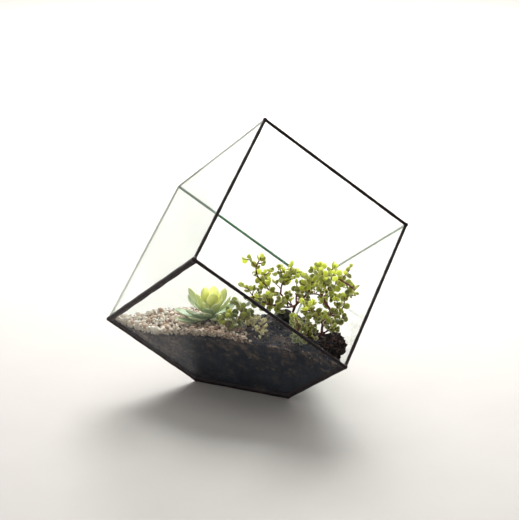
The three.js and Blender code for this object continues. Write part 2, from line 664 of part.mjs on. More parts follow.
function rosette() {
  const { x, y, z, stem } = ROSETTE;
  const trunk = new THREE.CylinderGeometry(stem, stem, ROOT_DEPTH + 8, 8);
  trunk.rotateX(Math.PI / 2);
  trunk.translate(x, y, z - (ROOT_DEPTH + 8) / 2 + 2);
  const solids = [solidOf(trunk)];
  for (const [compass, rise, length, width] of rosetteLeaves) {
    const center = V(x, y, z + Math.max(0, rise) * 0.03);
    let lift = rise;
    const flat = V(Math.cos(radians(compass)), Math.sin(radians(compass)), 0);
    const sinks = (t) =>
      center.z + t * length * Math.sin(radians(lift + LEAF_CURL * t * t)) - LEAF_KEEL <
      gravelTop(x + t * length * flat.x, y + t * length * flat.y) + GAP;
    while ([0.5, 0.75, 1].some(sinks)) lift += 1;
    solids.push(fleshyLeaf(center, compass, lift, length, width));
    for (const t of [0.35, 0.65, 0.92]) {
      const reach = radians(lift + LEAF_CURL * t * t);
      const out = flat.clone().multiplyScalar(Math.cos(reach)).add(V(0, 0, Math.sin(reach)));
      take("echeveria", center.clone().addScaledVector(out, t * length), width * 0.5);
    }
  }
  return oneBody(fuse(solids));
}

// ---- Stones and bark ----------------------------------------------------------------------------------------
// A lump: an icosahedron stretched and dented by a smooth formula.
function lump(center, size, detail, dent, seed) {
  const geometry = new THREE.IcosahedronGeometry(1, detail);
  const position = geometry.attributes.position;
  for (let i = 0; i < position.count; i++) {
    const p = V().fromBufferAttribute(position, i);
    const wave = Math.sin(3.1 * p.x + seed) * Math.cos(2.7 * p.y - seed) + Math.sin(4.3 * p.z + 2 * seed);
    p.multiplyScalar(1 + dent * wave).multiply(size).add(center);
    position.setXYZ(i, p.x, p.y, p.z);
  }
  return geometry;
}

const STONE = { center: V(22, -20, 62.5), size: V(7.6, 6.6, 6.6) };
const BARK = { center: V(59, -78, 60), size: V(10.5, 8.5, 8.5) };

take("stone_dark", STONE.center, 7.2);
take("bark_chunk", BARK.center, 9.5);

// ---- Assembly -----------------------------------------------------------------------------------------------
const rosetteSolid = rosette();
addPiece("echeveria", geometryOf(rosetteSolid), finish.rosette);

for (const stem of bushStems) {
  addPiece(stem.name, geometryOf(leafyStem(stem)), finish.bush);
}

// A sprig is a small leafy stem whose leaves stand closer together.
for (const sprig of sprigs) {
  addPiece(sprig.name, geometryOf(leafyStem(sprig)), sprig.name.includes("pale") ? finish.cover : finish.sprig);
}

const stone = lump(STONE.center, STONE.size, 1, 0.04, 0.6);
const bark = geometryOf(keepInside(solidOf(lump(BARK.center, BARK.size, 1, 0.13, 1.9))));
addPiece("stone_dark", stone, finish.stone);
addPiece("bark_chunk", bark, finish.bark);

// Plain holes for whatever stands in the ground: each follows its stem, a little wider than it.
const rooted = [...bushStems, ...sprigs].filter((stem) => stem.parent === undefined);

function rootHole(stem) {
  const below = stem.route[0].with(2, stem.route[0][2] - 1);
  const start = solidOf(tube(pointsOf([below, stem.route[1]]), stem.radius + HOLE_CLEARANCE, 8, 20));
  return start.add(solidOf(tube(pointsOf(stem.route), stem.radius + HOLE_CLEARANCE, STEM_SIDES, STEM_STEP)));
}

function rosetteHole() {
  const { x, y, z, stem } = ROSETTE;
  const reach = stem + HOLE_CLEARANCE;
  const hole = new THREE.CylinderGeometry(reach, reach, 2 * ROOT_DEPTH + 8, 8);
  hole.rotateX(Math.PI / 2);
  hole.translate(x, y, z - ROOT_DEPTH / 2 - 2);
  return solidOf(hole);
}

// The hollow that a stone lies in: the stone's own shape, larger by a gap all round.
const seat = ({ center, size }, detail, dent, seed) =>
  solidOf(lump(center, size.clone().addScalar(1.4 * GAP), detail, dent, seed));

const hollows = fuse([
  ...rooted.map(rootHole),
  rosetteHole(),
  seat(STONE, 1, 0.04, 0.6),
  seat(BARK, 1, 0.13, 1.9),
]);
const soilBlock = heightBlock(soilHeight, ...groundSpan, SOIL_GRID);
addPiece("soil", geometryOf(oneBody(keepInside(soilBlock).subtract(hollows))), finish.soil);

const soilLifted = heightBlock((x, y) => soilHeight(x, y) + GAP, ...groundSpan, SOIL_GRID);
const gravelBlock = heightBlock(gravelTop, ...groundSpan, GRAVEL_GRID);
const gravel = keepInside(gravelBlock.subtract(soilLifted)).subtract(hollows);
addPiece("gravel", geometryOf(oneBody(gravel)), finish.gravel);

export default terrarium;
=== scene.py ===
"""Dresses the glass terrarium: its solder, glass, ground, stones and plants, on a plain pale stage."""
import json
import logging
import math
from dataclasses import dataclass, field
from enum import Enum
from functools import cache
from typing import Callable, Iterable, Sequence

import bmesh
import bpy
import numpy as np
from mathutils import Matrix, Vector, noise

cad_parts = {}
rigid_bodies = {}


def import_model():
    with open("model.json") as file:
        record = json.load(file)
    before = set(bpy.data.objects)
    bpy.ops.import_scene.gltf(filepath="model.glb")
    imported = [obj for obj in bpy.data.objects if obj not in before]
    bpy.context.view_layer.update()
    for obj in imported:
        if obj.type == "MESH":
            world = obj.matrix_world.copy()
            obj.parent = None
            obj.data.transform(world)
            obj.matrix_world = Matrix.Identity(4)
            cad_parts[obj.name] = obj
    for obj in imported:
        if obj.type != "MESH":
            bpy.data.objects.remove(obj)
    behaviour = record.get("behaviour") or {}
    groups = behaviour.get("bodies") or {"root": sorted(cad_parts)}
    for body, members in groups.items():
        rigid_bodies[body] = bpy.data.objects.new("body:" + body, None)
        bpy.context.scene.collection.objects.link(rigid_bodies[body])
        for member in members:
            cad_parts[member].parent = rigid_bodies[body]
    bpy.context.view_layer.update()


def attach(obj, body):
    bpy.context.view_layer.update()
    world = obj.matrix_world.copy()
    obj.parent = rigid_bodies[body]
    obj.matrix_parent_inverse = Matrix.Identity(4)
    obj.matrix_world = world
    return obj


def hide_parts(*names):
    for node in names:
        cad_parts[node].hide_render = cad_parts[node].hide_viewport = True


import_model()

MM = 0.001  # the layout is worked out in millimetres, as the part's source does
GAP = 0.3  # between pieces that touch
METRE = 1000
MASK = 0xFFFFFFFF
Span = tuple[float, float]
Triple = tuple[float, float, float]
Colour = Triple
log = logging.getLogger("terrarium")


# ---- Vectors, curves and repeatable chance -------------------------------------------------------
def vec(x: float, y: float, z: float) -> np.ndarray:
    """Returns a vector of three numbers."""
    return np.array((x, y, z), dtype=float)


def unit(vector: np.ndarray) -> np.ndarray:
    """Returns a vector's direction, one long."""
    return vector / math.sqrt(float(vector @ vector))


def lerp(low: float, high: float, share: float) -> float:
    """Returns the number that lies a share of the way from low to high."""
    return (1 - share) * low + share * high


def clamp(value: float, low: float = 0.0, high: float = 1.0) -> float:
    """Returns the value kept between two limits."""
    return max(low, min(high, value))


def smooth(value: float) -> float:
    """Returns a step from 0 to 1 with soft ends."""
    share = clamp(value)
    return share * share * (3 - 2 * share)


def around(direction: np.ndarray, angle: float) -> np.ndarray:
    """Finds a direction at right angles to another.

    Args:
        direction: the one that it stands out from.
        angle: how far it is turned round it.

    Returns:
        The direction, one long.
    """
    helper = vec(0, 0, 1) if abs(direction[2]) < 0.9 else vec(1, 0, 0)
    first = unit(np.cross(helper, direction))
    second = np.cross(direction, first)
    return first * math.cos(angle) + second * math.sin(angle)


def heading(compass: float) -> np.ndarray:
    """Returns the level direction at a number of degrees from +X towards +Y."""
    return vec(math.cos(math.radians(compass)), math.sin(math.radians(compass)), 0)


class Chance:
    """A repeatable stream of numbers from 0 to 1, the same one that lays out the solids."""

    def __init__(self, seed: int) -> None:
        """Starts the stream at a seed."""
        self.state = seed & MASK

    def draw(self) -> float:
        """Draws the next number.

        Returns:
            A number from 0 up to 1.
        """
        self.state = (self.state + 0x6D2B79F5) & MASK
        t = self.state
        t = ((t ^ (t >> 15)) * (t | 1)) & MASK
        t ^= (t + (((t ^ (t >> 7)) * (t | 61)) & MASK)) & MASK
        return ((t ^ (t >> 14)) & MASK) / 4294967296

    def between(self, low: float, high: float) -> float:
        """Returns the next number, spread between two limits."""
        return lerp(low, high, self.draw())


class Route:
    """A smooth centripetal curve through points, walked by its length."""

    DIVISIONS = 200
    TINY = 1e-4

    def __init__(self, points: Iterable[Sequence[float]]) -> None:
        """Measures the curve.

        Args:
            points: at least three points that it passes through.
        """
        self.points = [np.array(p, dtype=float) for p in points]
        samples = [self._point(i / self.DIVISIONS) for i in range(self.DIVISIONS + 1)]
        self.lengths = [0.0]
        for last, now in zip(samples, samples[1:]):
            self.lengths.append(self.lengths[-1] + math.dist(last, now))
        self.length = self.lengths[-1]

    def _point(self, t: float) -> np.ndarray:
        """Finds a point of the curve.

        Args:
            t: the curve's own parameter, from 0 to 1.

        Returns:
            The point.
        """
        pts = self.points
        place = (len(pts) - 1) * t
        i = math.floor(place)
        weight = place - i
        if weight == 0 and i == len(pts) - 1:
            i, weight = len(pts) - 2, 1.0
        p0 = pts[i - 1] if i > 0 else 2 * pts[0] - pts[1]
        p1, p2 = pts[i], pts[i + 1]
        p3 = pts[i + 2] if i + 2 < len(pts) else 2 * pts[-1] - pts[-2]
        d0, d1, d2 = (math.sqrt(math.dist(a, b)) for a, b in ((p0, p1), (p1, p2), (p2, p3)))
        d1 = d1 if d1 >= self.TINY else 1.0
        d0 = d0 if d0 >= self.TINY else d1
        d2 = d2 if d2 >= self.TINY else d1
        t1 = ((p1 - p0) / d0 - (p2 - p0) / (d0 + d1) + (p2 - p1) / d1) * d1
        t2 = ((p2 - p1) / d1 - (p3 - p1) / (d1 + d2) + (p3 - p2) / d2) * d1
        square = -3 * p1 + 3 * p2 - 2 * t1 - t2
        cube = 2 * p1 - 2 * p2 + t1 + t2
        return p1 + t1 * weight + square * weight**2 + cube * weight**3

    def _parameter(self, share: float) -> float:
        """Finds the curve's own parameter.

        Args:
            share: of its length.

        Returns:
            The parameter there.
        """
        target = share * self.length
        i = int(np.searchsorted(self.lengths, target, side="right")) - 1
        i = min(max(i, 0), self.DIVISIONS)
        if self.lengths[i] == target or i == self.DIVISIONS:
            return i / self.DIVISIONS
        part = (target - self.lengths[i]) / (self.lengths[i + 1] - self.lengths[i])
        return (i + part) / self.DIVISIONS

    def at(self, share: float) -> np.ndarray:
        """Returns the point at a share of the length."""
        return self._point(self._parameter(share))

    def tangent(self, share: float) -> np.ndarray:
        """Returns the direction at a share of the length."""
        t = self._parameter(share)
        return unit(self._point(min(1.0, t + self.TINY)) - self._point(max(0.0, t - self.TINY)))


# ---- Materials -----------------------------------------------------------------------------------
class Wire:
    """A shader socket that adds Math nodes where it is used in an expression."""

    def __init__(self, recipe: "Recipe", socket: bpy.types.NodeSocket) -> None:
        """Wraps one output socket of a recipe's nodes."""
        self.recipe = recipe
        self.socket = socket

    def out(self, name: str | int) -> "Wire":
        """Returns another output of the same node."""
        return Wire(self.recipe, self.socket.node.outputs[name])

    def _math(self, operation: str, *terms: "Wire | float") -> "Wire":
        """Returns the result of one Math node on the terms."""
        return self.recipe.add("Math", {"operation": operation}, dict(enumerate(terms)))

    def __add__(self, other: "Wire | float") -> "Wire":
        """Adds."""
        return self._math("ADD", self, other)

    __radd__ = __add__

    def __sub__(self, other: "Wire | float") -> "Wire":
        """Subtracts."""
        return self._math("SUBTRACT", self, other)

    def __rsub__(self, other: "Wire | float") -> "Wire":
        """Subtracts from a number."""
        return self._math("SUBTRACT", other, self)

    def __mul__(self, other: "Wire | float") -> "Wire":
        """Multiplies."""
        return self._math("MULTIPLY", self, other)

    __rmul__ = __mul__

    def __pow__(self, other: "Wire | float") -> "Wire":
        """Raises to a power."""
        return self._math("POWER", self, other)

    def spread(self, low: float, high: float, to_low: float = 0.0, to_high: float = 1.0) -> "Wire":
        """Returns the value with one span stretched over another, and kept inside it.

        Args:
            low: the value that gives to_low.
            high: the value that gives to_high.
            to_low: the result at and below low.
            to_high: the result at and above high.
        """
        return self.recipe.add("MapRange", {}, {0: self, 1: low, 2: high, 3: to_low, 4: to_high})


class Recipe:
    """One material and the nodes that it is made of."""

    def __init__(self, name: str) -> None:
        """Starts a material with nothing but its output.

        Args:
            name: of the material.
        """
        self.material = bpy.data.materials.new(name)
        self.material.use_nodes = True
        self.tree = self.material.node_tree
        self.tree.nodes.clear()
        self.output = self.tree.nodes.new("ShaderNodeOutputMaterial")

    def add(self, kind: str, settings: dict | None = None, sockets: dict | None = None) -> Wire:
        """Adds a node.

        Args:
            kind: the node's type, without its ShaderNode prefix.
            settings: its properties, set before its sockets; stops are a ramp's places and colours.
            sockets: values or wires by the name or number of the input.

        Returns:
            Its first output that is in use.
        """
        node = self.tree.nodes.new("ShaderNode" + kind)
        for key, value in (settings or {}).items():
            if key == "stops":
                self._ramp(node.color_ramp, value)
            else:
                setattr(node, key, value)
        for key, value in (sockets or {}).items():
            target = node.inputs[key]
            if isinstance(value, Wire):
                self.tree.links.new(value.socket, target)
            elif isinstance(value, tuple) and target.type == "RGBA":
                target.default_value = (*value, 1.0)
            else:
                target.default_value = value
        live = [s for s in node.outputs if s.enabled]
        return Wire(self, live[0])

    @staticmethod
    def _ramp(ramp: bpy.types.ColorRamp, stops: Sequence[tuple[float, Colour]]) -> None:
        """Gives a colour ramp its stops.

        Args:
            ramp: the ramp of a new node.
            stops: the place and the colour of each.
        """
        while len(ramp.elements) < len(stops):
            ramp.elements.new(0.5)
        for element, (place, colour) in zip(ramp.elements, stops):
            element.position = place
            element.color = (*colour, 1.0)

    def place(self) -> Wire:
        """Returns the position on the piece, in metres."""
        return self.add("TexCoord").out("Object")

    def noise(self, size: float, detail: float = 3.0, rough: float = 0.55, warp: float = 0.0) -> Wire:
        """Returns a soft noise.

        Args:
            size: of its features, in millimetres.
            detail: how many finer layers it has.
            rough: how strong they are.
            warp: how much it is twisted.
        """
        sockets = {"Vector": self.place(), "Scale": METRE / size, "Detail": detail, "Roughness": rough}
        return self.add("TexNoise", {}, {**sockets, "Distortion": warp})

    def cells(self, size: float) -> Wire:
        """Returns the distance to the nearest of scattered points, a size in millimetres apart."""
        return self.add("TexVoronoi", {}, {"Vector": self.place(), "Scale": METRE / size})

    def ramp(self, value: Wire, *stops: tuple[float, Colour]) -> Wire:
        """Returns a colour picked from stops by a value."""
        return self.add("ValToRGB", {"stops": stops}, {"Fac": value})

    def blend(self, share: "Wire | float", first: "Wire | Colour", second: "Wire | Colour") -> Wire:
        """Returns a mix of two colours, with the second one's share."""
        return self.add("Mix", {"data_type": "RGBA"}, {0: share, 6: first, 7: second})

    def marks(self) -> tuple[Wire, Wire, Wire]:
        """Reads the three values that are painted on a piece's points.

        Returns:
            The first, the second and the third of them.
        """
        painted = self.add("Attribute", {"attribute_name": "marks"})
        parts = self.add("SeparateColor", {}, {0: painted})
        return parts, parts.out(1), parts.out(2)

    def bump(self, height: Wire, depth: float, strength: float = 1.0) -> Wire:
        """Returns a normal raised by a height, whose full range is a depth in millimetres."""
        return self.add("Bump", {}, {"Height": height, "Distance": depth * MM, "Strength": strength})

    def body(self, **sockets: "Wire | float | Colour") -> Wire:
        """Returns a Principled shader with the sockets given by name, underscores for spaces."""
        return self.add("BsdfPrincipled", {}, {k.replace("_", " "): v for k, v in sockets.items()})

    def mix(self, share: "Wire | float", first: Wire, second: Wire) -> Wire:
        """Returns a mix of two shaders."""
        return self.add("MixShader", {}, {0: share, 1: first, 2: second})

    def finish(self, surface: Wire) -> bpy.types.Material:
        """Sends a shader to the output and returns the material."""
        self.tree.links.new(surface.socket, self.output.inputs["Surface"])
        return self.material


@dataclass(frozen=True)
class Patina:
    """Blackened tin solder: nearly black, slightly plum, rubbed to a brown grey here and there."""

    deep: Colour = (0.004, 0.002, 0.003)
    plum: Colour = (0.015, 0.006, 0.01)
    rubbed: Colour = (0.05, 0.031, 0.028)
    cloud: float = 9.0
    fleck: float = 1.1
    lump: float = 2.6
    lump_depth: float = 0.22
    gloss: Span = (0.34, 0.58)

    def make(self) -> bpy.types.Material:
        """Makes the material.

        Returns:
            The material.
        """
        r = Recipe("black_patina")
        fine = r.noise(self.fleck, 3)
        colour = r.ramp(
            r.noise(self.cloud, 4, 0.6), (0.3, self.deep), (0.55, self.plum), (0.78, self.rubbed))
        colour = r.blend(fine.spread(0.5, 0.75) * 0.5, colour, self.rubbed)
        gloss = r.noise(4, 3).spread(0.3, 0.7, *self.gloss)
        normal = r.bump(r.noise(self.lump, 3) + fine * 0.35, self.lump_depth, 0.7)
        return r.finish(r.body(
            Base_Color=colour, Roughness=gloss, Normal=normal, Specular_IOR_Level=0.25))


@dataclass(frozen=True)
class ClearPane:
    """Float glass with a faint film of dust, which reflects more towards grazing angles."""

    name: str = "pane_glass"
    tint: Colour = (0.975, 0.988, 0.98)
    haze: float = 0.006
    mirror: float = 0.03
    film: Colour = (0.86, 0.87, 0.85)
    smear: float = 38.0

    def make(self) -> bpy.types.Material:
        """Makes the material.

        Returns:
            The material.
        """
        r = Recipe(self.name)
        facing = r.add("LayerWeight", {}, {"Blend": 0.5}).out("Facing")
        mirror = facing**5 * 0.6 + self.mirror
        clear = r.add("BsdfTransparent", {}, {0: self.tint})
        shine = r.add("BsdfGlossy", {}, {"Color": (1.0, 1.0, 1.0), "Roughness": 0.03})
        dust = r.add("BsdfDiffuse", {}, {"Color": self.film})
        film = r.noise(self.smear, 5, 0.6).spread(0.35, 0.75, 0.3, 1.6) * self.haze
        return r.finish(r.mix(film, r.mix(mirror, clear, shine), dust))


@dataclass(frozen=True)
class ClearJoint:
    """Cured glue between two glass edges, tinted by the glass that it meets."""

    name: str
    tint: Colour
    clear: float
    streak: float = 6.0

    def make(self) -> bpy.types.Material:
        """Makes the material.

        Returns:
            The material.
        """
        r = Recipe(self.name)
        streak = r.noise(self.streak, 3)
        shade = r.ramp(streak, (0.3, tuple(0.75 * c for c in self.tint)), (0.7, self.tint))
        body = r.body(Base_Color=shade, Roughness=0.18, Coat_Weight=0.4)
        through = r.add("BsdfTransparent", {}, {0: tuple(min(1.0, 1.35 * c + 0.1) for c in self.tint)})
        share = streak.spread(0.3, 0.7, self.clear - 0.08, self.clear + 0.08)
        return r.finish(r.mix(share, body, through))


@dataclass(frozen=True)
class PottingSoil:
    """Dark compost: brown clumps and fibres above. Painted shade makes it nearly black and bluish towards the
    base and in the gaps between crumbs, and a painted glare makes it paler to the left.
    """

    # The blue-black deep tone is partly the soil's own near-black and partly painted shade.
    deep: Colour = (0.009, 0.015, 0.03)
    brown: Colour = (0.062, 0.047, 0.045)
    dry_and_lit: Colour = (0.2, 0.135, 0.105)
    fibre: Colour = (0.26, 0.17, 0.12)
    speck: Colour = (0.5, 0.43, 0.34)
    # A paler grey brown painted on the left of the soil as glare.
    painted_glare: Colour = (0.36, 0.265, 0.22)
    # Heights over which the soil goes from painted shade at the base to the lighter, lit upper soil.
    shaded_to_lit: Span = (22.0, 58.0)
    painted_glare_left_of: Span = (42.0, 95.0)
    clump: float = 9.0
    crumb: float = 2.4
    crumb_depth: float = 1.3

    def make(self) -> bpy.types.Material:
        """Makes the material.

        Returns:
            The material.
        """
        r = Recipe("potting_soil")
        place = r.add("SeparateXYZ", {}, {0: r.place()})
        # Painted shade: the soil darkens towards the base, and fibres and specks stay on the lit upper soil.
        dry_and_lit = (place.out("Z") * METRE).spread(*self.shaded_to_lit)
        outer = (place.out("X") * -METRE).spread(*self.painted_glare_left_of)
        clumps = r.noise(self.clump, 5, 0.7, 0.15) + (dry_and_lit - 0.75) * 0.1
        grains = r.cells(self.crumb)
        colour = r.ramp(clumps, (0.45, self.deep), (0.53, self.brown), (0.63, self.dry_and_lit), (0.76, self.brown))
        # Painted glare: the soil is paler to the left.
        colour = r.blend(r.noise(15, 5, 0.72).spread(0.3, 0.7) * outer, colour, self.painted_glare)
        # Painted shade in the gaps between crumbs.
        colour = r.blend(grains.spread(0.35, 0.8) * 0.7, colour, self.deep)
        fibres = r.noise(2.6, 5, 0.7, 2.5).spread(0.6, 0.7)
        colour = r.blend(fibres * 0.6 * dry_and_lit, colour, self.fibre)
        specks = r.noise(3.4, 1).spread(0.72, 0.745)
        colour = r.blend(specks * 0.9 * dry_and_lit, colour, self.speck)
        normal = r.bump(r.noise(1.6, 5, 0.7) + (1 - grains) * 0.6, self.crumb_depth)
        rough = r.noise(11, 3).spread(0.4, 0.65, 0.75, 1.0)
        return r.finish(r.body(
            Base_Color=colour, Roughness=rough, Normal=normal, Specular_IOR_Level=0.12))


@dataclass(frozen=True)
class River:
    """Dry gravel: each grain has its own tan, cream, pinkish or dark tone, and is darkened by clinging soil
    and by painted shade.
    """

    tones: tuple[tuple[float, Colour], ...] = (
        (0.0, (0.05, 0.032, 0.025)), (0.18, (0.17, 0.1, 0.07)), (0.4, (0.4, 0.25, 0.17)),
        (0.6, (0.6, 0.41, 0.29)), (0.8, (0.74, 0.56, 0.42)), (1.0, (0.95, 0.87, 0.76)),
    )
    vein: Colour = (0.33, 0.24, 0.18)
    soiled_and_shaded: Colour = (0.06, 0.042, 0.032)
    vein_size: float = 1.3
    pit: float = 0.7
    pit_depth: float = 0.25

    def make(self) -> bpy.types.Material:
        """Makes the material.

        Returns:
            The material.
        """
        r = Recipe("river_gravel")
        tone, dirt_and_shade, _ = r.marks()
        veins = r.noise(self.vein_size, 4, 0.7)
        colour = r.blend(veins.spread(0.45, 0.75) * 0.45, r.ramp(tone, *self.tones), self.vein)
        # The second mark darkens towards a soil colour: soil that clings near the soil's edge, and painted
        # shade on the bed and on buried grains.
        colour = r.blend(dirt_and_shade * 0.8, colour, self.soiled_and_shaded)
        normal = r.bump(r.noise(self.pit, 4), self.pit_depth, 0.6)
        rough = r.noise(2, 2).spread(0.3, 0.7, 0.55, 0.85)
        return r.finish(r.body(Base_Color=colour, Roughness=rough, Normal=normal))


@dataclass(frozen=True)
class DarkStone:
    """A smooth dark pebble, a little wet."""

    bands: tuple[tuple[float, Colour], ...] = (
        (0.3, (0.012, 0.013, 0.016)), (0.6, (0.028, 0.03, 0.034)), (0.85, (0.07, 0.07, 0.072)),
    )
    band_size: float = 6.0
    pit: float = 1.4
    pit_depth: float = 0.12

    def make(self) -> bpy.types.Material:
        """Makes the material.

        Returns:
            The material.
        """
        r = Recipe("dark_pebble")
        colour = r.ramp(r.noise(self.band_size, 4, 0.6, 0.6), *self.bands)
        normal = r.bump(r.noise(self.pit, 4), self.pit_depth, 0.5)
        rough = r.noise(3, 3).spread(0.3, 0.7, 0.2, 0.42)
        return r.finish(r.body(Base_Color=colour, Roughness=rough, Normal=normal, Coat_Weight=0.35))


@dataclass(frozen=True)
class Bark:
    """A rough chunk of bark, nearly black with reddish broken edges."""

    grain: tuple[tuple[float, Colour], ...] = (
        (0.3, (0.006, 0.005, 0.005)), (0.6, (0.02, 0.015, 0.014)), (0.8, (0.07, 0.045, 0.038)),
    )
    broken: Colour = (0.17, 0.095, 0.07)
    flake: float = 3.2
    flake_depth: float = 0.9

    def make(self) -> bpy.types.Material:
        """Makes the material.

        Returns:
            The material.
        """
        r = Recipe("bark_chunk")
        rise, _, _ = r.marks()
        colour = r.ramp(r.noise(3.5, 6, 0.7), *self.grain)
        colour = r.blend(rise.spread(0.7, 1.0) * 0.7, colour, self.broken)
        normal = r.bump(r.noise(1.2, 6, 0.7) + r.cells(self.flake), self.flake_depth, 0.9)
        return r.finish(r.body(Base_Color=colour, Roughness=0.85, Normal=normal))


@dataclass(frozen=True)
class Flesh:
    """A fleshy leaf that lets light through: its heart and young colours, mixed partly as painted light and
    shade, its pale margin, partly a painted rim light, and how it shines.
    """

    name: str
    heart: Colour
    young_and_lit: Colour
    margin_and_rim_light: Colour
    glow: Colour
    through: float = 0.42
    shine: float = 0.32
    bloom: float = 0.0
    edge_from: float = 0.35
    rim_light: float = 0.2
    powder: Colour = (0.68, 0.8, 0.7)
    mottle: float = 3.2
    dimple: float = 1.5
    dimple_depth: float = 0.08

    def make(self) -> bpy.types.Material:
        """Makes the material.

        Returns:
            The material.
        """
        r = Recipe(self.name)
        edge, age, along = r.marks()
        mottle = r.noise(self.mottle, 4, 0.6)
        # The second mark mixes the heart colour into the young one: young growth, and partly painted light on
        # upper leaves and painted shade on lower ones.
        colour = r.blend(age, self.heart, self.young_and_lit)
        colour = r.blend(mottle.spread(0.35, 0.75) * 0.35, colour, tuple(0.55 * c for c in self.heart))
        # The pale margin is partly the leaf's own cream edge and partly a painted rim light.
        colour = r.blend(edge.spread(self.edge_from, 0.95), colour, self.margin_and_rim_light)
        if self.bloom:
            powder = r.noise(5, 5, 0.65).spread(0.35, 0.7, 0.4, 1.0) * self.bloom
            powder = powder * (1 - age * 0.85)
            colour = r.blend(powder * along.spread(0.0, 0.35, 0.5, 1.0), colour, self.powder)
        rough = r.noise(2.2, 3).spread(0.3, 0.7, self.shine - 0.06, self.shine + 0.14)
        normal = r.bump(r.noise(self.dimple, 3), self.dimple_depth, 0.5)
        skin = r.body(Base_Color=colour, Roughness=rough, Normal=normal, Coat_Weight=0.12)
        thin = edge.spread(0.3, 0.9)
        inner = r.add("BsdfTranslucent", {}, {"Color": self.glow})
        rim = r.add("BsdfTranslucent", {}, {"Color": self.margin_and_rim_light})
        through = (age * 0.65 + 0.35) * self.through + thin * self.rim_light
        return r.finish(r.mix(through, skin, r.mix(thin * 0.8, inner, rim)))


@dataclass(frozen=True)
class Twig:
    """The skin of a stem: its two tones, and the grey brown that it turns with age."""

    name: str
    dark: Colour
    pale: Colour
    woody: Colour = (0.2, 0.12, 0.1)
    streak: float = 2.4
    wrinkle: float = 0.9
    wrinkle_depth: float = 0.15

    def make(self) -> bpy.types.Material:
        """Makes the material.

        Returns:
            The material.
        """
        r = Recipe(self.name)
        _, age, _ = r.marks()
        streaks = r.noise(self.streak, 5, 0.65, 0.4)
        colour = r.blend(streaks.spread(0.35, 0.7), self.dark, self.pale)
        colour = r.blend(age * 0.35, colour, self.woody)
        normal = r.bump(r.noise(self.wrinkle, 4), self.wrinkle_depth, 0.8)
        return r.finish(r.body(Base_Color=colour, Roughness=0.55, Normal=normal))


class Finish(Enum):
    """Every finish of the terrarium."""

    PATINA = Patina()
    PANE = ClearPane()
    HAZY_PANE = ClearPane("lower_pane_glass", (0.97, 0.98, 0.97), 0.022, 0.008, (0.72, 0.8, 0.96))
    JOINT_PALE = ClearJoint("pale_joint", (0.5, 0.53, 0.48), 0.45)
    JOINT_GREY = ClearJoint("grey_joint", (0.46, 0.51, 0.43), 0.48)
    JOINT_GREEN = ClearJoint("green_joint", (0.06, 0.25, 0.12), 0.12)
    SOIL = PottingSoil()
    GRAVEL = River()
    STONE = DarkStone()
    BARK = Bark()
    ROSETTE = Flesh(
        "echeveria_leaf", heart=(0.3, 0.44, 0.2), young_and_lit=(0.84, 0.84, 0.4), margin_and_rim_light=(1.0, 1.0, 0.8),
        glow=(1.0, 1.0, 0.58), through=0.6, shine=0.34, bloom=0.36, edge_from=0.3, rim_light=0.3)
    BUSH = Flesh(
        "bush_leaf", heart=(0.1, 0.12, 0.045), young_and_lit=(0.44, 0.5, 0.11), margin_and_rim_light=(1.0, 0.96, 0.7),
        glow=(0.86, 0.92, 0.27), through=0.64, shine=0.28, edge_from=0.36, rim_light=0.4)
    SPRIG = Flesh(
        "dark_sprig_leaf", heart=(0.07, 0.1, 0.035), young_and_lit=(0.46, 0.5, 0.14), margin_and_rim_light=(0.8, 0.8, 0.45),
        glow=(0.88, 0.92, 0.3), through=0.66, shine=0.3)
    COVER = Flesh(
        "pale_sprig_leaf", heart=(0.95, 0.85, 0.5), young_and_lit=(1.0, 0.95, 0.66), margin_and_rim_light=(1.0, 1.0, 0.85),
        glow=(1.0, 0.97, 0.66), through=0.8, shine=0.3, rim_light=0.7)
    STEM = Twig("maroon_stem", (0.06, 0.015, 0.018), (0.36, 0.085, 0.075))
    PALE_STEM = Twig("pale_stem", (0.35, 0.2, 0.14), (0.62, 0.42, 0.34))

    @cache
    def material(self) -> bpy.types.Material:
        """Returns this finish's material, made at its first use."""
        return self.value.make()


# ---- Meshes --------------------------------------------------------------------------------------
def shown(name: str, data: bpy.types.ID) -> bpy.types.Object:
    """Puts something in the scene.

    Args:
        name: of the object.
        data: its mesh, lamp or camera.

    Returns:
        The new object.
    """
    thing = bpy.data.objects.new(name, data)
    bpy.context.collection.objects.link(thing)
    return thing


UNMARKED = np.zeros(3)


def aged(age: float) -> np.ndarray:
    """Returns the marks of a stem, whose second one is its age."""
    return np.array((0.0, age, 0.0))


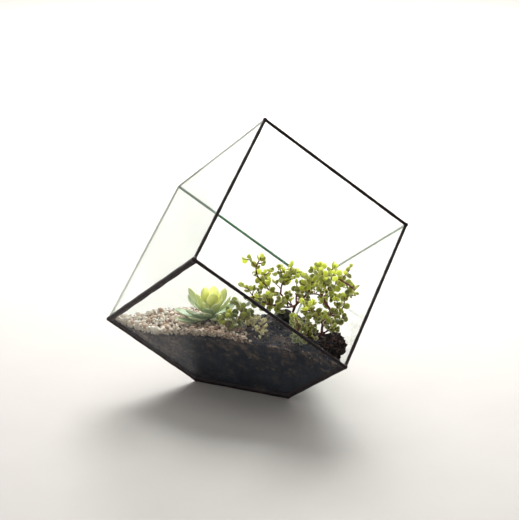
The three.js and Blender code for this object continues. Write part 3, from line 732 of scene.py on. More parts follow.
class Draft:
    """Points, faces and marks gathered for one piece, in millimetres."""

    def __init__(self) -> None:
        """Starts empty."""
        self.points: list[np.ndarray] = []
        self.marks: list[np.ndarray] = []
        self.faces: list[tuple[int, ...]] = []
        self.finish_of: list[int] = []
        self.count = 0

    def add(self, points: np.ndarray, faces: Iterable[Sequence[int]], marks: np.ndarray,
            finish: int = 0) -> None:
        """Adds a closed skin.

        Args:
            points: one row of three for each point.
            faces: the points of each face, counted from this skin's first.
            marks: one row of three for each point, or one row for all.
            finish: the number of its material.
        """
        self.points.append(points)
        self.marks.append(np.broadcast_to(marks, points.shape))
        for face in faces:
            self.faces.append(tuple(i + self.count for i in face))
            self.finish_of.append(finish)
        self.count += len(points)

    def loft(self, rings: Sequence[np.ndarray], marks: np.ndarray, finish: int = 0) -> None:
        """Adds a skin over rings of as many points each, closed at both ends.

        Args:
            rings: the rings, in order.
            marks: one row of three for each point of all rings, or one row for all.
            finish: the number of its material.
        """
        sides = len(rings[0])
        faces = []
        for r in range(len(rings) - 1):
            base = r * sides
            for s in range(sides):
                n = (s + 1) % sides
                faces.append((base + s, base + n, base + n + sides, base + s + sides))
        last = (len(rings) - 1) * sides
        faces.append(tuple(range(sides - 1, -1, -1)))
        faces.append(tuple(last + s for s in range(sides)))
        self.add(np.concatenate(rings), faces, marks, finish)

    def tube(self, route: Route, radius: Callable[[float], float], steps: int, sides: int,
             marks: np.ndarray, finish: int = 0) -> None:
        """Adds a round stem along a route.

        Args:
            route: its middle line.
            radius: its radius at a share of its length.
            steps: how many stretches it has.
            sides: how many sides.
            marks: one row of three for all its points.
            finish: the number of its material.
        """
        across = around(route.tangent(0), 0)
        rings = []
        for i in range(steps + 1):
            share = i / steps
            tangent = route.tangent(share)
            across = unit(across - tangent * (across @ tangent))
            second = np.cross(tangent, across)
            turn = np.linspace(0, 2 * math.pi, sides, endpoint=False)
            reach = radius(share)
            ring = np.outer(np.cos(turn), across) + np.outer(np.sin(turn), second)
            rings.append(route.at(share) + reach * ring)
        self.loft(rings, marks, finish)

    def make(self, name: str, finishes: Sequence[Finish], smooth: bool = True) -> bpy.types.Object:
        """Makes one object of the gathered skins.

        Args:
            name: of the piece.
            finishes: its materials, in the order that the skins number them.
            smooth: whether its faces are shaded as one round surface.

        Returns:
            The object.
        """
        mesh = bpy.data.meshes.new(name)
        mesh.from_pydata((np.concatenate(self.points) * MM).tolist(), [], self.faces)
        painted = mesh.attributes.new("marks", "FLOAT_COLOR", "POINT")
        marks = np.concatenate(self.marks)
        painted.data.foreach_set("color", np.column_stack((marks, np.ones(len(marks)))).ravel())
        for finish in finishes:
            mesh.materials.append(finish.material())
        mesh.polygons.foreach_set("material_index", self.finish_of)
        mesh.polygons.foreach_set("use_smooth", [smooth] * len(mesh.polygons))
        mesh.update()
        return shown(name, mesh)


def settle(piece: bpy.types.Object, slot: str, *nodes: str) -> None:
    """Rides a finished piece on the terrarium and lets it stand for its nodes.

    Args:
        piece: the finished piece.
        slot: the record's material slot of the piece; not used.
        nodes: the nodes that it stands for.
    """
    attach(piece, "root")
    if nodes:
        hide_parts(*nodes)
    log.info("%s: %d faces", piece.name, len(piece.data.polygons))


def remeshed(piece: bpy.types.Object, voxel: float, relax: int) -> None:
    """Gives a piece one continuous fine skin over all its overlapping parts.

    Args:
        piece: the piece, whose mesh is replaced.
        voxel: the size of the new faces, in millimetres.
        relax: how many times the new skin is smoothed.
    """
    remesh = piece.modifiers.new("skin", "REMESH")
    remesh.mode = "VOXEL"
    remesh.voxel_size = voxel * MM
    if relax:
        soften = piece.modifiers.new("soften", "SMOOTH")
        soften.iterations = relax
        soften.factor = 0.5
    evaluated = piece.evaluated_get(bpy.context.evaluated_depsgraph_get())
    mesh = bpy.data.meshes.new_from_object(evaluated)
    piece.modifiers.clear()
    old = piece.data
    piece.data = mesh
    mesh.name = piece.name
    bpy.data.meshes.remove(old)
    mesh.polygons.foreach_set("use_smooth", [True] * len(mesh.polygons))


def ball(detail: int) -> tuple[np.ndarray, list[tuple[int, ...]]]:
    """Makes a unit ball of triangles.

    Args:
        detail: how many times its faces are divided.

    Returns:
        Its points and its faces.
    """
    bm = bmesh.new()
    bmesh.ops.create_icosphere(bm, subdivisions=detail, radius=1.0)
    points = np.array([v.co[:] for v in bm.verts])
    faces = [tuple(v.index for v in f.verts) for f in bm.faces]
    bm.free()
    return points, faces


# ---- The cut cube --------------------------------------------------------------------------------
@dataclass
class CutCube:
    """The glass cube with one corner cut off: its faces and where its edges meet."""

    side: float = 150.0
    cut: Triple = (58.5, 63.5, 66.5)
    heading: float = 184.8
    glass: float = 2.0
    seam_in: float = 1.05
    foot: float = 0.7
    walls: dict[str, tuple[np.ndarray, float]] = field(default_factory=dict)
    corners: dict[str, np.ndarray] = field(default_factory=dict)

    MEETINGS = {
        "A": ("left", "open", "top"), "B": ("right", "open", "top"), "C": ("right", "open", "lower"),
        "D": ("left", "open", "lower"), "E": ("left", "back", "lower"), "F": ("left", "back", "top"),
        "G": ("right", "back", "top"), "P": ("back", "lower", "base"), "Q": ("right", "lower", "base"),
        "R": ("right", "back", "base"),
    }

    def __post_init__(self) -> None:
        """Works out every face and corner in the part's frame."""
        slope = vec(*(1 / c for c in self.cut))
        up = unit(slope)
        ahead = unit(vec(1, 0, 0) - up * up[0])
        aside = np.cross(up, ahead)
        turn = math.radians(self.heading)
        spin = np.array((
            ahead * math.cos(turn) - aside * math.sin(turn),
            ahead * math.sin(turn) + aside * math.cos(turn),
            up,
        ))
        local = {
            "left": (vec(1, 0, 0), self.side), "open": (vec(0, 1, 0), self.side),
            "top": (vec(0, 0, 1), self.side), "right": (vec(-1, 0, 0), 0.0),
            "back": (vec(0, -1, 0), 0.0), "lower": (vec(0, 0, -1), 0.0),
            "base": (-up, -1 / math.sqrt(slope @ slope)),
        }

        def meeting(name: str) -> np.ndarray:
            """Returns where three outer faces meet, before the part is centred."""
            rows = np.array([local[f][0] for f in self.MEETINGS[name]])
            return spin @ np.linalg.solve(rows, np.array([local[f][1] for f in self.MEETINGS[name]]))

        home = vec(
            -(meeting("B")[0] + meeting("E")[0]) / 2,
            -(meeting("D")[1] + meeting("G")[1]) / 2,
            self.foot - meeting("P")[2],
        )
        for name, (normal, reach) in local.items():
            turned = spin @ normal
            self.walls[name] = (turned, float(turned @ (spin @ (normal * reach) + home)))
        for name in self.MEETINGS:
            self.corners[name] = self.corner(name, self.seam_in)

    def corner(self, name: str, inset: float) -> np.ndarray:
        """Returns where a corner's three faces meet when each is moved inwards by an inset."""
        rows = np.array([self.walls[f][0] for f in self.MEETINGS[name]])
        return np.linalg.solve(rows, np.array([self.walls[f][1] - inset for f in self.MEETINGS[name]]))

    def edge(self, ends: str) -> tuple[np.ndarray, np.ndarray]:
        """Returns the two corners of an edge."""
        return self.corners[ends[0]], self.corners[ends[1]]

    def beside(self, ends: str) -> tuple[np.ndarray, np.ndarray]:
        """Returns the outward directions of the two faces that an edge joins."""
        one, two = (f for f in self.MEETINGS[ends[0]] if f in self.MEETINGS[ends[1]])
        return self.walls[one][0], self.walls[two][0]

    def room(self, point: np.ndarray, names: Iterable[str]) -> float:
        """Returns how far a point lies inside the nearest of some faces."""
        return min(self.walls[n][1] - float(self.walls[n][0] @ point) for n in names)

    def pushed_in(self, point: np.ndarray, clear: float) -> np.ndarray:
        """Moves a point away from the glass.

        Args:
            point: the point.
            clear: how far it has to stay from the outer face of each pane.

        Returns:
            The point, moved where it was too near.
        """
        for name in GLAZED:
            normal, reach = self.walls[name]
            point = point - normal * max(0.0, float(normal @ point) - (reach - clear))
        return point


def facing_along(outline: np.ndarray, third: int, along: np.ndarray) -> np.ndarray:
    """Returns an outline that turns right-handed about a direction, reversed if need be.

    Args:
        outline: its points, from its own axis.
        third: the number of the point that its turn is read from, with its first.
        along: the direction.

    Returns:
        The outline, or the same points in reverse.
    """
    return outline[::-1] if np.dot(np.cross(outline[0], outline[third]), along) < 0 else outline


GLAZED = ("left", "top", "right", "back", "lower", "base")
CUBE = CutCube()


# ---- Solder and joints ---------------------------------------------------------------------------
@dataclass
class SolderWork:
    """The blackened solder along the rim, the lower edges and the base, as one continuous frame."""

    rim: float = 1.42
    foil: float = 2.9
    narrow: float = 1.25
    inside: float = 3.1
    foil_thick: float = 0.12
    proud: float = 0.7
    lip: float = 0.3
    crown: float = 0.6
    fillet: float = 0.9
    wander: float = 0.045
    jitter: float = 0.03
    step: float = 2.5
    blobs: tuple[tuple[str, float], ...] = (
        ("A", 1.8), ("B", 1.9), ("C", 2.1), ("D", 2.4), ("E", 2.1), ("P", 2.0), ("Q", 2.0), ("R", 2.0),
    )
    voxel: float = 0.5
    relax: int = 4
    seed: int = 5
    nodes: tuple[str, ...] = (
        "rim_bead_upper_right", "rim_bead_lower_right", "rim_bead_lower_left", "rim_bead_upper_left",
        "seam_left_lower", "seam_back_lower", "seam_right_lower", "base_seam_front", "base_seam_right",
        "base_seam_back",
    )

    def _section(self, ends: str, wide: float) -> np.ndarray:
        """Draws the outline of a seam across its edge, from the edge's own axis.

        Args:
            ends: the edge's two corners.
            wide: how far the foil reaches over the outside of each pane.

        Returns:
            The outline's points.
        """
        one, two = CUBE.beside(ends)
        start, stop = CUBE.edge(ends)
        along = unit(stop - start)
        out, inner = CUBE.seam_in, CUBE.glass - CUBE.seam_in
        outside, within = [], []
        for face, other in ((one, two), (two, one)):
            inward = unit(np.cross(along, face))
            inward = inward if inward @ other < 0 else -inward
            outside.append([
                inward * wide + face * (out + self.foil_thick),
                inward * wide * 0.55 + face * (out + self.lip),
                inward * self.crown + face * (out + self.proud)])
            within.append([
                inward * self.inside * 0.7 - face * (inner + self.lip),
                inward * self.inside - face * (inner + self.foil_thick)])
        ridge = unit(one + two) * (out * 1.2 + self.proud)
        hollow = -unit(one + two) * (inner * 1.4 + self.fillet)
        return np.array([*outside[0], ridge, *outside[1][::-1], *within[1][::-1], hollow, *within[0]])

    def _seam(self, draft: Draft, ends: str, wide: float, chance: Chance) -> None:
        """Adds a closed corner's seam, whose width wanders a little.

        Args:
            draft: the frame.
            ends: the edge's two corners.
            wide: how far the foil reaches over the outside of each pane.
            chance: where the wander comes from.
        """
        start, stop = CUBE.edge(ends)
        section = facing_along(self._section(ends, wide), 3, stop - start)
        steps = max(6, int(np.linalg.norm(stop - start) / self.step))
        phase = chance.draw() * 6
        rings = []
        for i in range(steps + 1):
            share = i / steps
            wave = self.wander * math.sin(share * steps * 0.55 + phase)
            swell = 1 + wave + self.jitter * (chance.draw() - 0.5)
            rings.append(start + (stop - start) * share + section * swell)
        draft.loft(rings, UNMARKED)

    def _bead(self, draft: Draft, ends: str, chance: Chance) -> None:
        """Adds the round bead along a free edge of the open face.

        Args:
            draft: the frame.
            ends: the edge's two corners.
            chance: where the wander comes from.
        """
        start, stop = CUBE.edge(ends)
        route = Route([start, start * 0.67 + stop * 0.33, start * 0.33 + stop * 0.67, stop])
        phase = chance.draw() * 6

        def radius(share: float) -> float:
            """Returns the bead's radius."""
            slow, quick = math.sin(share * 33 + phase), math.sin(share * 91 + 2 * phase)
            return self.rim * (1 + 0.05 * slow + 0.03 * quick)

        draft.tube(route, radius, 60, 14, UNMARKED)

    def build(self) -> None:
        """Builds the frame: beads, seams and a rounded blob at each corner, melted into one skin."""
        draft, chance = Draft(), Chance(self.seed)
        for ends in ("AB", "BC", "CD", "DA"):
            self._bead(draft, ends, chance)
        self._seam(draft, "DE", self.foil, chance)
        for ends in ("EP", "CQ", "PQ", "QR", "RP"):
            self._seam(draft, ends, self.narrow, chance)
        points, faces = ball(3)
        for name, size in self.blobs:
            draft.add(points * size * chance.between(0.95, 1.05) + CUBE.corners[name], faces, UNMARKED)
        piece = draft.make("solder_frame", [Finish.PATINA])
        remeshed(piece, self.voxel, self.relax)
        self._flatten(piece)
        settle(piece, "solder", *self.nodes)

    @staticmethod
    def _flatten(piece: bpy.types.Object) -> None:
        """Presses the frame's underside flat on what it stands on."""
        for vertex in piece.data.vertices:
            vertex.co.z = max(vertex.co.z, 0.0)


@dataclass
class GluedJoints:
    """The thin clear joints along the edges of the two far corners."""

    edges: tuple[tuple[str, str, Finish, float], ...] = (
        ("seam_left_back", "EF", Finish.JOINT_PALE, 0.85), ("seam_left_top", "FA", Finish.JOINT_PALE, 0.85),
        ("seam_top_back", "FG", Finish.JOINT_GREEN, 1.05), ("seam_top_right", "GB", Finish.JOINT_GREY, 0.85),
        ("seam_right_back", "GR", Finish.JOINT_GREY, 0.85),
    )
    reach: Span = (0.004, 0.996)
    chamfered: tuple[Span, ...] = (
        (1, 0.45), (0.45, 1), (-0.5, 1), (-1, 0.6), (-1, -0.5), (-0.6, -1), (0.5, -1), (1, -0.4),
    )

    def build(self) -> None:
        """Builds each joint as a slim bar with a soft chamfer, just inside the outer corner."""
        for node, ends, finish, size in self.edges:
            draft = Draft()
            start, stop = CUBE.edge(ends)
            one, two = CUBE.beside(ends)
            section = size * np.array([one * a + two * b for a, b in self.chamfered])
            section = facing_along(section, 2, stop - start)
            rings = [start + (stop - start) * share + section for share in np.linspace(*self.reach, 12)]
            draft.loft(rings, UNMARKED)
            piece = draft.make(node + "_glue", [finish], smooth=False)
            settle(piece, "joint", node)


@dataclass
class Glazing:
    """The six panes, cut to a mitre so that they meet along the edges under the solder."""

    clear: float = 0.12
    panes: tuple[tuple[str, str, Finish], ...] = (
        ("pane_left", "ADEF", Finish.PANE), ("pane_top", "ABGF", Finish.PANE),
        ("pane_right", "BCQRG", Finish.PANE), ("pane_back", "EFGRP", Finish.PANE),
        ("pane_lower", "DCQPE", Finish.HAZY_PANE), ("pane_base", "PQR", Finish.PANE),
    )

    def build(self) -> None:
        """Builds each pane between its outer and its inner outline."""
        for node, outline, finish in self.panes:
            rings = []
            for inset in (0.0, CUBE.glass):
                ring = np.array([CUBE.corner(name, inset) for name in outline])
                middle = ring.mean(axis=0)
                rings.append(ring + np.array([unit(middle - p) * self.clear for p in ring]))
            normal = CUBE.walls[node.removeprefix("pane_")][0]
            if np.dot(np.cross(rings[0][1] - rings[0][0], rings[0][2] - rings[0][1]), normal) < 0:
                rings = [ring[::-1] for ring in rings]
            draft = Draft()
            draft.loft(rings[::-1], UNMARKED)
            settle(draft.make(node + "_glass", [finish], smooth=False), "glass", node)


# ---- The ground ----------------------------------------------------------------------------------
def hill(x: float, y: float, cx: float, cy: float, spread: float, height: float) -> float:
    """Returns how high a smooth hill about cx, cy is at x, y."""
    return height * math.exp(-((x - cx) ** 2 + (y - cy) ** 2) / (2 * spread**2))


@dataclass
class Ground:
    """The heights of the soil and the gravel."""

    level: float = 56.5
    extent: Span = (126.0, 112.0)
    grid: float = 10.0
    depth: float = 3.0
    pitch: float = 7.6
    rosette: Span = (-38.0, -17.0)
    rosette_flat: float = 18.0
    scoop: float = 17.0
    mounds: tuple[tuple[float, float, float, float], ...] = (
        (22, -22, 30, 3.5), (-88, -24, 22, -9), (69, -100, 17, -8),
    )

    def soil(self, x: float, y: float) -> float:
        """Works out the soil's height.

        Args:
            x: how far to the right.
            y: how far back.

        Returns:
            The height there.
        """
        ripple = 0.5 * math.sin(0.31 * x + 0.9) * math.cos(0.27 * y)
        ripple += 0.4 * math.sin(0.53 * x - 0.41 * y + 2.1)
        behind = max(0.0, y + 8) * clamp(0.2 + (x + 80) / 280, 0.2, 0.42)
        mounds = sum(hill(x, y, *mound) for mound in self.mounds)
        scooped = self.scoop * smooth((x - 32) / 20) * smooth((y + 52) / 42)
        return self.level - behind - scooped + mounds + ripple

    def facet(self, x: float, y: float) -> float:
        """Works out the soil's height as the solid's coarse grid draws it.

        Args:
            x: how far to the right.
            y: how far back.

        Returns:
            The height there.
        """
        gx, gy = math.floor(x / self.grid), math.floor(y / self.grid)
        u, v = x / self.grid - gx, y / self.grid - gy
        near, far = gy * self.grid, (gy + 1) * self.grid
        left, right = gx * self.grid, (gx + 1) * self.grid
        first, last = self.soil(left, near), self.soil(right, far)
        if u > v:
            side = self.soil(right, near)
            return first + (side - first) * u + (last - side) * v
        side = self.soil(left, far)
        return first + (last - side) * u + (side - first) * v

    def cover(self, x: float, y: float) -> float:
        """Returns 1 where gravel covers the soil and 0 past its edge."""
        return clamp((-16 - 0.25 * (y + 20) + 3 * math.sin(0.22 * y) - x) / 12)

    def relief(self, x: float, y: float) -> float:
        """Works out how high the rounded domes of the solid's gravel stand.

        Args:
            x: how far to the right.
            y: how far back.

        Returns:
            The height there, over the bed.
        """
        ci, cj = math.floor(x / self.pitch + 0.5), math.floor(y / self.pitch + 0.5)
        highest = 0.0
        for i in range(ci - 1, ci + 2):
            for j in range(cj - 1, cj + 2):
                wobble = math.sin(12.9 * i + 78.2 * j) * 43.7
                jx, jy = math.sin(wobble) * 0.28, math.cos(1.7 * wobble) * 0.28
                size = 0.42 + 0.16 * math.sin(2.3 * wobble)
                away = math.hypot(x / self.pitch - i - jx, y / self.pitch - j - jy) / size
                if away < 1:
                    highest = max(highest, self.pitch * size * math.sqrt(1 - away * away))
        return highest

    def gravel(self, x: float, y: float) -> float:
        """Works out the height of the solid's gravel.

        Args:
            x: how far to the right.
            y: how far back.

        Returns:
            The height there.
        """
        cover = self.cover(x, y)
        relief = self.relief(x, y) * (1 - hill(x, y, *self.rosette, self.rosette_flat, 1))
        return self.facet(x, y) + GAP + (cover * (self.depth + relief) + 0.1 if cover > 0 else -1.5)


GROUND = Ground()


def walled_block(top: Callable[[float, float], float], bottom: Callable[[float, float], float],
                 cell: float, clear: float) -> bmesh.types.BMesh:
    """Makes a closed block between two heights, cut to stand inside the glass.

    Args:
        top: its upper height at x, y.
        bottom: its lower height at x, y.
        cell: the size of its grid.
        clear: how far its sides stay from the outer faces of the glass.

    Returns:
        The block, in metres.
    """
    xs, ys = (np.arange(-reach, reach + 0.1, cell) for reach in GROUND.extent)
    across, deep = len(xs), len(ys)
    lower = [(x, y, bottom(x, y)) for y in ys for x in xs]
    upper = [(x, y, top(x, y)) for y in ys for x in xs]
    layer = across * deep
    faces = []
    for j in range(deep - 1):
        for i in range(across - 1):
            a = j * across + i
            b, c, d = a + 1, a + across + 1, a + across
            faces += [(d, c, b, a), (a + layer, b + layer, c + layer, d + layer)]
            rims = ((j == 0, a, b), (j == deep - 2, c, d), (i == 0, d, a), (i == across - 2, b, c))
            faces += [(p, q, q + layer, p + layer) for at_rim, p, q in rims if at_rim]
    mesh = bpy.data.meshes.new("block")
    mesh.from_pydata([tuple(v * MM for v in p) for p in lower + upper], [], faces)
    bm = bmesh.new()
    bm.from_mesh(mesh)
    bpy.data.meshes.remove(mesh)
    for name in GLAZED:
        normal, reach = CUBE.walls[name]
        geometry = list(bm.verts) + list(bm.edges) + list(bm.faces)
        cut = bmesh.ops.bisect_plane(
            bm, geom=geometry, dist=1e-7, plane_co=Vector(normal * (reach - clear) * MM),
            plane_no=Vector(normal), clear_outer=True)
        edges = [e for e in cut["geom_cut"] if isinstance(e, bmesh.types.BMEdge)]
        if edges:
            bmesh.ops.holes_fill(bm, edges=edges, sides=0)
    bmesh.ops.recalc_face_normals(bm, faces=bm.faces)
    return bm


@dataclass
class SoilBed:
    """The potting soil: a crumbly mound pressed against the glass."""

    voxel: float = 1.15
    cell: float = 4.0
    clear: float = 0.45
    crumb: Span = (0.55, 0.75)
    heap: Span = (0.16, 0.9)
    top_raise: float = 1.1
    side_sink: float = 0.45
    top_from: float = 0.55
    foot: float = 2.5

    def build(self) -> None:
        """Builds the soil as one piece."""
        bm = walled_block(GROUND.soil, lambda x, y: 0.0, self.cell, CUBE.glass + self.clear)
        mesh = bpy.data.meshes.new("soil_bed")
        bm.to_mesh(mesh)
        bm.free()
        mesh.materials.append(Finish.SOIL.material())
        piece = shown("soil_bed", mesh)
        remeshed(piece, self.voxel, 0)
        self._roughen(piece)
        settle(piece, "soil", "soil")

    def _roughen(self, piece: bpy.types.Object) -> None:
        """Raises crumbs on the surface and sinks pores into the sides against the glass.

        Args:
            piece: the soil.
        """
        mesh = piece.data
        count = len(mesh.vertices)
        places, normals = np.empty(count * 3), np.empty(count * 3)
        mesh.vertices.foreach_get("co", places)
        mesh.vertices.foreach_get("normal", normals)
        places, normals = places.reshape(-1, 3), normals.reshape(-1, 3)
        for i, (place, normal) in enumerate(zip(places, normals)):
            spot = Vector(place) * METRE
            crumb = noise.fractal(spot * self.crumb[0], 0.9, 2.1, 3) * self.crumb[1]
            crumb += noise.noise(spot * self.heap[0]) * self.heap[1]
            if normal[2] > self.top_from:
                places[i] = place + normal * crumb * self.top_raise * MM
            elif place[2] > self.foot * MM:
                places[i] = place - normal * max(0.0, crumb - 0.1) * self.side_sink * MM
        mesh.vertices.foreach_set("co", places.ravel())
        mesh.update()


@dataclass
class Grains:
    """A set of worn grain shapes, laid one at a time."""

    shapes: int = 14
    detail: int = 2
    rough: float = 0.32
    flat_past: float = 0.72
    keep: float = 0.9
    clear: float = 0.35
    tip: float = 0.6
    seed: int = 300
    made: list[tuple[np.ndarray, list[tuple[int, ...]]]] = field(default_factory=list)

    def __post_init__(self) -> None:
        """Shapes each grain, one long: dented, flattened on a few sides and squashed."""
        for number in range(self.shapes):
            points, faces = ball(self.detail)
            chance = Chance(self.seed + number)
            squash = vec(1.0, chance.between(0.7, 0.95), chance.between(0.5, 0.8))
            shaped = []
            for p in points:
                wave = noise.noise(Vector(p) * 1.3 + Vector((number * 7.1, 0, 0)))
                shaped.append(p * (1 + self.rough * wave))
            shaped = np.array(shaped)
            for _ in range(3):
                flat = unit(vec(*(chance.draw() - 0.5 for _ in range(3))))
                past = np.maximum(0, shaped @ flat - self.flat_past)
                shaped = shaped - np.outer(past * 0.85, flat)
            self.made.append((shaped * squash, faces))

    def lay(self, draft: Draft, number: int, spot: np.ndarray, size: float, chance: Chance,
            tones: Span, dirt_and_shade: float = 0.0, finish: int = 0) -> None:
        """Adds one grain, turned at random and pushed clear of the glass.

        Args:
            draft: the piece that it is added to.
            number: which shape it takes.
            spot: its middle.
            size: its radius.
            chance: where its turn and tone come from.
            tones: the middle and the spread of its tone.
            dirt_and_shade: how dark it is made: soil that clings to it, and painted shade for grains that lie
                deep against the glass.
            finish: the number of its material.
        """
        spot = CUBE.pushed_in(spot, size * self.keep + CUBE.glass + self.clear)
        spin = Matrix.Rotation(chance.draw() * 6.283, 3, "Z")
        turn = spin @ Matrix.Rotation(chance.between(-self.tip, self.tip), 3, "X")
        points, faces = self.made[number % self.shapes]
        tone = clamp(tones[0] + tones[1] * (chance.draw() + chance.draw() - 1.0))
        draft.add(points @ np.array(turn).T * size + spot, faces, np.array((tone, dirt_and_shade, 0.0)), finish)


@dataclass
class GravelBed:
    """The gravel: a bed of grit with shaped grains lying on it and pressed against the glass."""

    cell: float = 3.0
    clear: float = 2.2
    bed_under: float = 3.0
    bed_over: float = 5.2
    bed_depth: float = 4.0
    # The bed shows between the grains: its low tone and strong second mark are partly grit and soil, partly
    # painted shade in the gaps.
    bed_marks: Triple = (0.15, 0.6, 0.0)
    across: Span = (-122.0, 10.0)
    deep: Span = (-106.0, 60.0)
    pitch: float = 2.5
    stray: float = 1.1
    small: Span = (0.8, 1.5)
    large: Span = (1.6, 2.7)
    large_from: float = 0.78
    tones: Span = (0.6, 0.72)
    # Towards the left the grains' tone turns paler: painted glare.
    pale: Span = (1.05, 0.66)
    glare_from: float = -36.0
    glare_over: float = 60.0
    trunk_room: float = 4.5
    against_glass: float = 5.5
    below: Span = (2.0, 3.8)
    seed: int = 77

    def _bed_top(self, x: float, y: float) -> float:
        """Returns the height of the grit, which dives under the soil past the gravel's edge."""
        return GROUND.soil(x, y) - self.bed_under + self.bed_over * clamp(3 * GROUND.cover(x, y) - 0.4)

    def build(self) -> None:
        """Builds the bed and its grains as one piece."""
        bm = walled_block(
            self._bed_top, lambda x, y: GROUND.soil(x, y) - self.bed_depth, self.cell,
            CUBE.glass + self.clear)
        bm.verts.ensure_lookup_table()
        draft = Draft()
        points = np.array([v.co[:] for v in bm.verts]) / MM
        draft.add(points, [[v.index for v in f.verts] for f in bm.faces], np.array(self.bed_marks))
        bm.free()
        chance, grains = Chance(self.seed), Grains()
        for y in np.arange(*self.deep, self.pitch):
            for x in np.arange(*self.across, self.pitch):
                px = x + chance.between(-self.stray, self.stray)
                py = y + chance.between(-self.stray, self.stray)
                pick, roll = chance.draw(), chance.draw()
                cover = GROUND.cover(px, py)
                if roll > 0.25 + 1.5 * cover or cover <= 0:
                    continue
                size = chance.between(*(self.large if pick > self.large_from else self.small))
                spot = vec(px, py, GROUND.soil(px, py) + 1.0 + 2.6 * cover + 0.25 * size)
                inside = CUBE.room(spot, GLAZED)
                if inside < -1.5 or math.dist((px, py), GROUND.rosette) < self.trunk_room:
                    continue
                # Painted light: grains are paler towards the left, as the glare at that end of the lower
                # pane.
                left_glare = smooth((self.glare_from - px) / self.glare_over)
                tones = tuple(lerp(*pair, left_glare) for pair in zip(self.tones, self.pale))
                grains.lay(draft, int(pick * 997), spot, size, chance, tones, 0.12 * (1 - cover))
                if inside < self.against_glass and cover > 0.3:
                    for deep in self.below:
                        under, small = spot - vec(0, 0, deep), min(size, self.small[1])
                        # Grains under the surface against the glass get darker the deeper they lie: painted
                        # shade.
                        grains.lay(draft, int(roll * 991), under, small, chance, tones, 0.1 * deep)
        piece = draft.make("gravel_bed", [Finish.GRAVEL])
        settle(piece, "gravel", "gravel")


@dataclass(frozen=True)
class Scrap:
    """A kind of loose scrap: how rare it is, its tones, its finish's number, and how its size is changed."""

    rarer_than: float
    tones: Span
    finish: int
    scale: float = 1.0
    extra: float = 0.0


class Scraps(Enum):
    """What a scrap on the soil can be, the rarest first."""

    SPECK = Scrap(0.965, (0.85, 0.2), 1, 0.55, 0.25)
    CHIP = Scrap(0.86, (0.5, 0.6), 2)
    CRUMB = Scrap(-1.0, (0.3, 0.3), 0)


@dataclass
class Litter:
    """What lies loose on the soil: crumbs, chips of bark, a few pale specks, and grit along the glass."""

    crumbs: int = 1700
    grit: int = 420
    across: Span = (-32.0, 100.0)
    deep: Span = (-112.0, 30.0)
    grit_across: Span = (-24.0, 74.0)
    grit_size: Span = (0.6, 1.7)
    grit_line: float = 1.2
    grit_fall: float = 5.5
    corner_room: float = 4.0
    seed: int = 211

    def _scatter(self, draft: Draft, grains: Grains, chance: Chance) -> None:
        """Scatters crumbs over the bare soil.

        Args:
            draft: the litter.
            grains: the shapes of its scraps.
            chance: where places, kinds and sizes come from.
        """
        for _ in range(self.crumbs):
            x, y = chance.between(*self.across), chance.between(*self.deep)
            kind, pick, size = chance.draw(), chance.draw(), 0.45 + 1.5 * chance.draw() ** 2.5
            spot = vec(x, y, GROUND.soil(x, y) + 0.25 * size)
            if GROUND.cover(x, y) > 0.35 or CUBE.room(spot, GLAZED) < CUBE.glass + 0.5:
                continue
            scrap = next(s.value for s in Scraps if kind > s.value.rarer_than)
            size = scrap.scale * size + scrap.extra
            grains.lay(draft, int(pick * 97), spot, size, chance, scrap.tones, 0.0, scrap.finish)

    def _line(self, draft: Draft, grains: Grains, chance: Chance) -> None:
        """Lays the thin line of brown grit where the soil meets the front glass.

        Args:
            draft: the litter.
            grains: the shapes of its scraps.
            chance: where places and sizes come from.
        """
        front = CUBE.glass + self.grit_line
        for _ in range(self.grit):
            x, y = chance.between(*self.grit_across), self.deep[0]
            while y < 0 and CUBE.room(vec(x, y, GROUND.soil(x, y)), ("lower",)) < front:
                y += 0.5
            drop, pick, size = chance.draw(), chance.draw(), chance.between(*self.grit_size)
            spot = vec(x, y, GROUND.soil(x, y) + 0.6 - self.grit_fall * drop)
            patch = noise.noise(Vector((0.11 * x, 0.23 * spot[2], 3.0)))
            if CUBE.room(spot, ("right", "left", "base")) < self.corner_room or patch < 0.1 * drop - 0.02:
                continue
            grains.lay(draft, int(pick * 97), spot, size, chance, (0.26 - 0.12 * drop, 0.22), 0.3, 1)

    def build(self) -> None:
        """Builds the litter as one piece."""
        draft, chance = Draft(), Chance(self.seed)
        grains = Grains(detail=1, rough=0.6)
        self._scatter(draft, grains, chance)
        self._line(draft, grains, chance)
        settle(draft.make("soil_litter", [Finish.SOIL, Finish.GRAVEL, Finish.BARK]), "soil")


def lumps(p: np.ndarray, phase: float) -> float:
    """Returns how far a stone of the solids' shape bulges in a direction."""
    side = math.sin(3.1 * p[0] + phase) * math.cos(2.7 * p[1] - phase)
    return side + math.sin(4.3 * p[2] + 2 * phase)


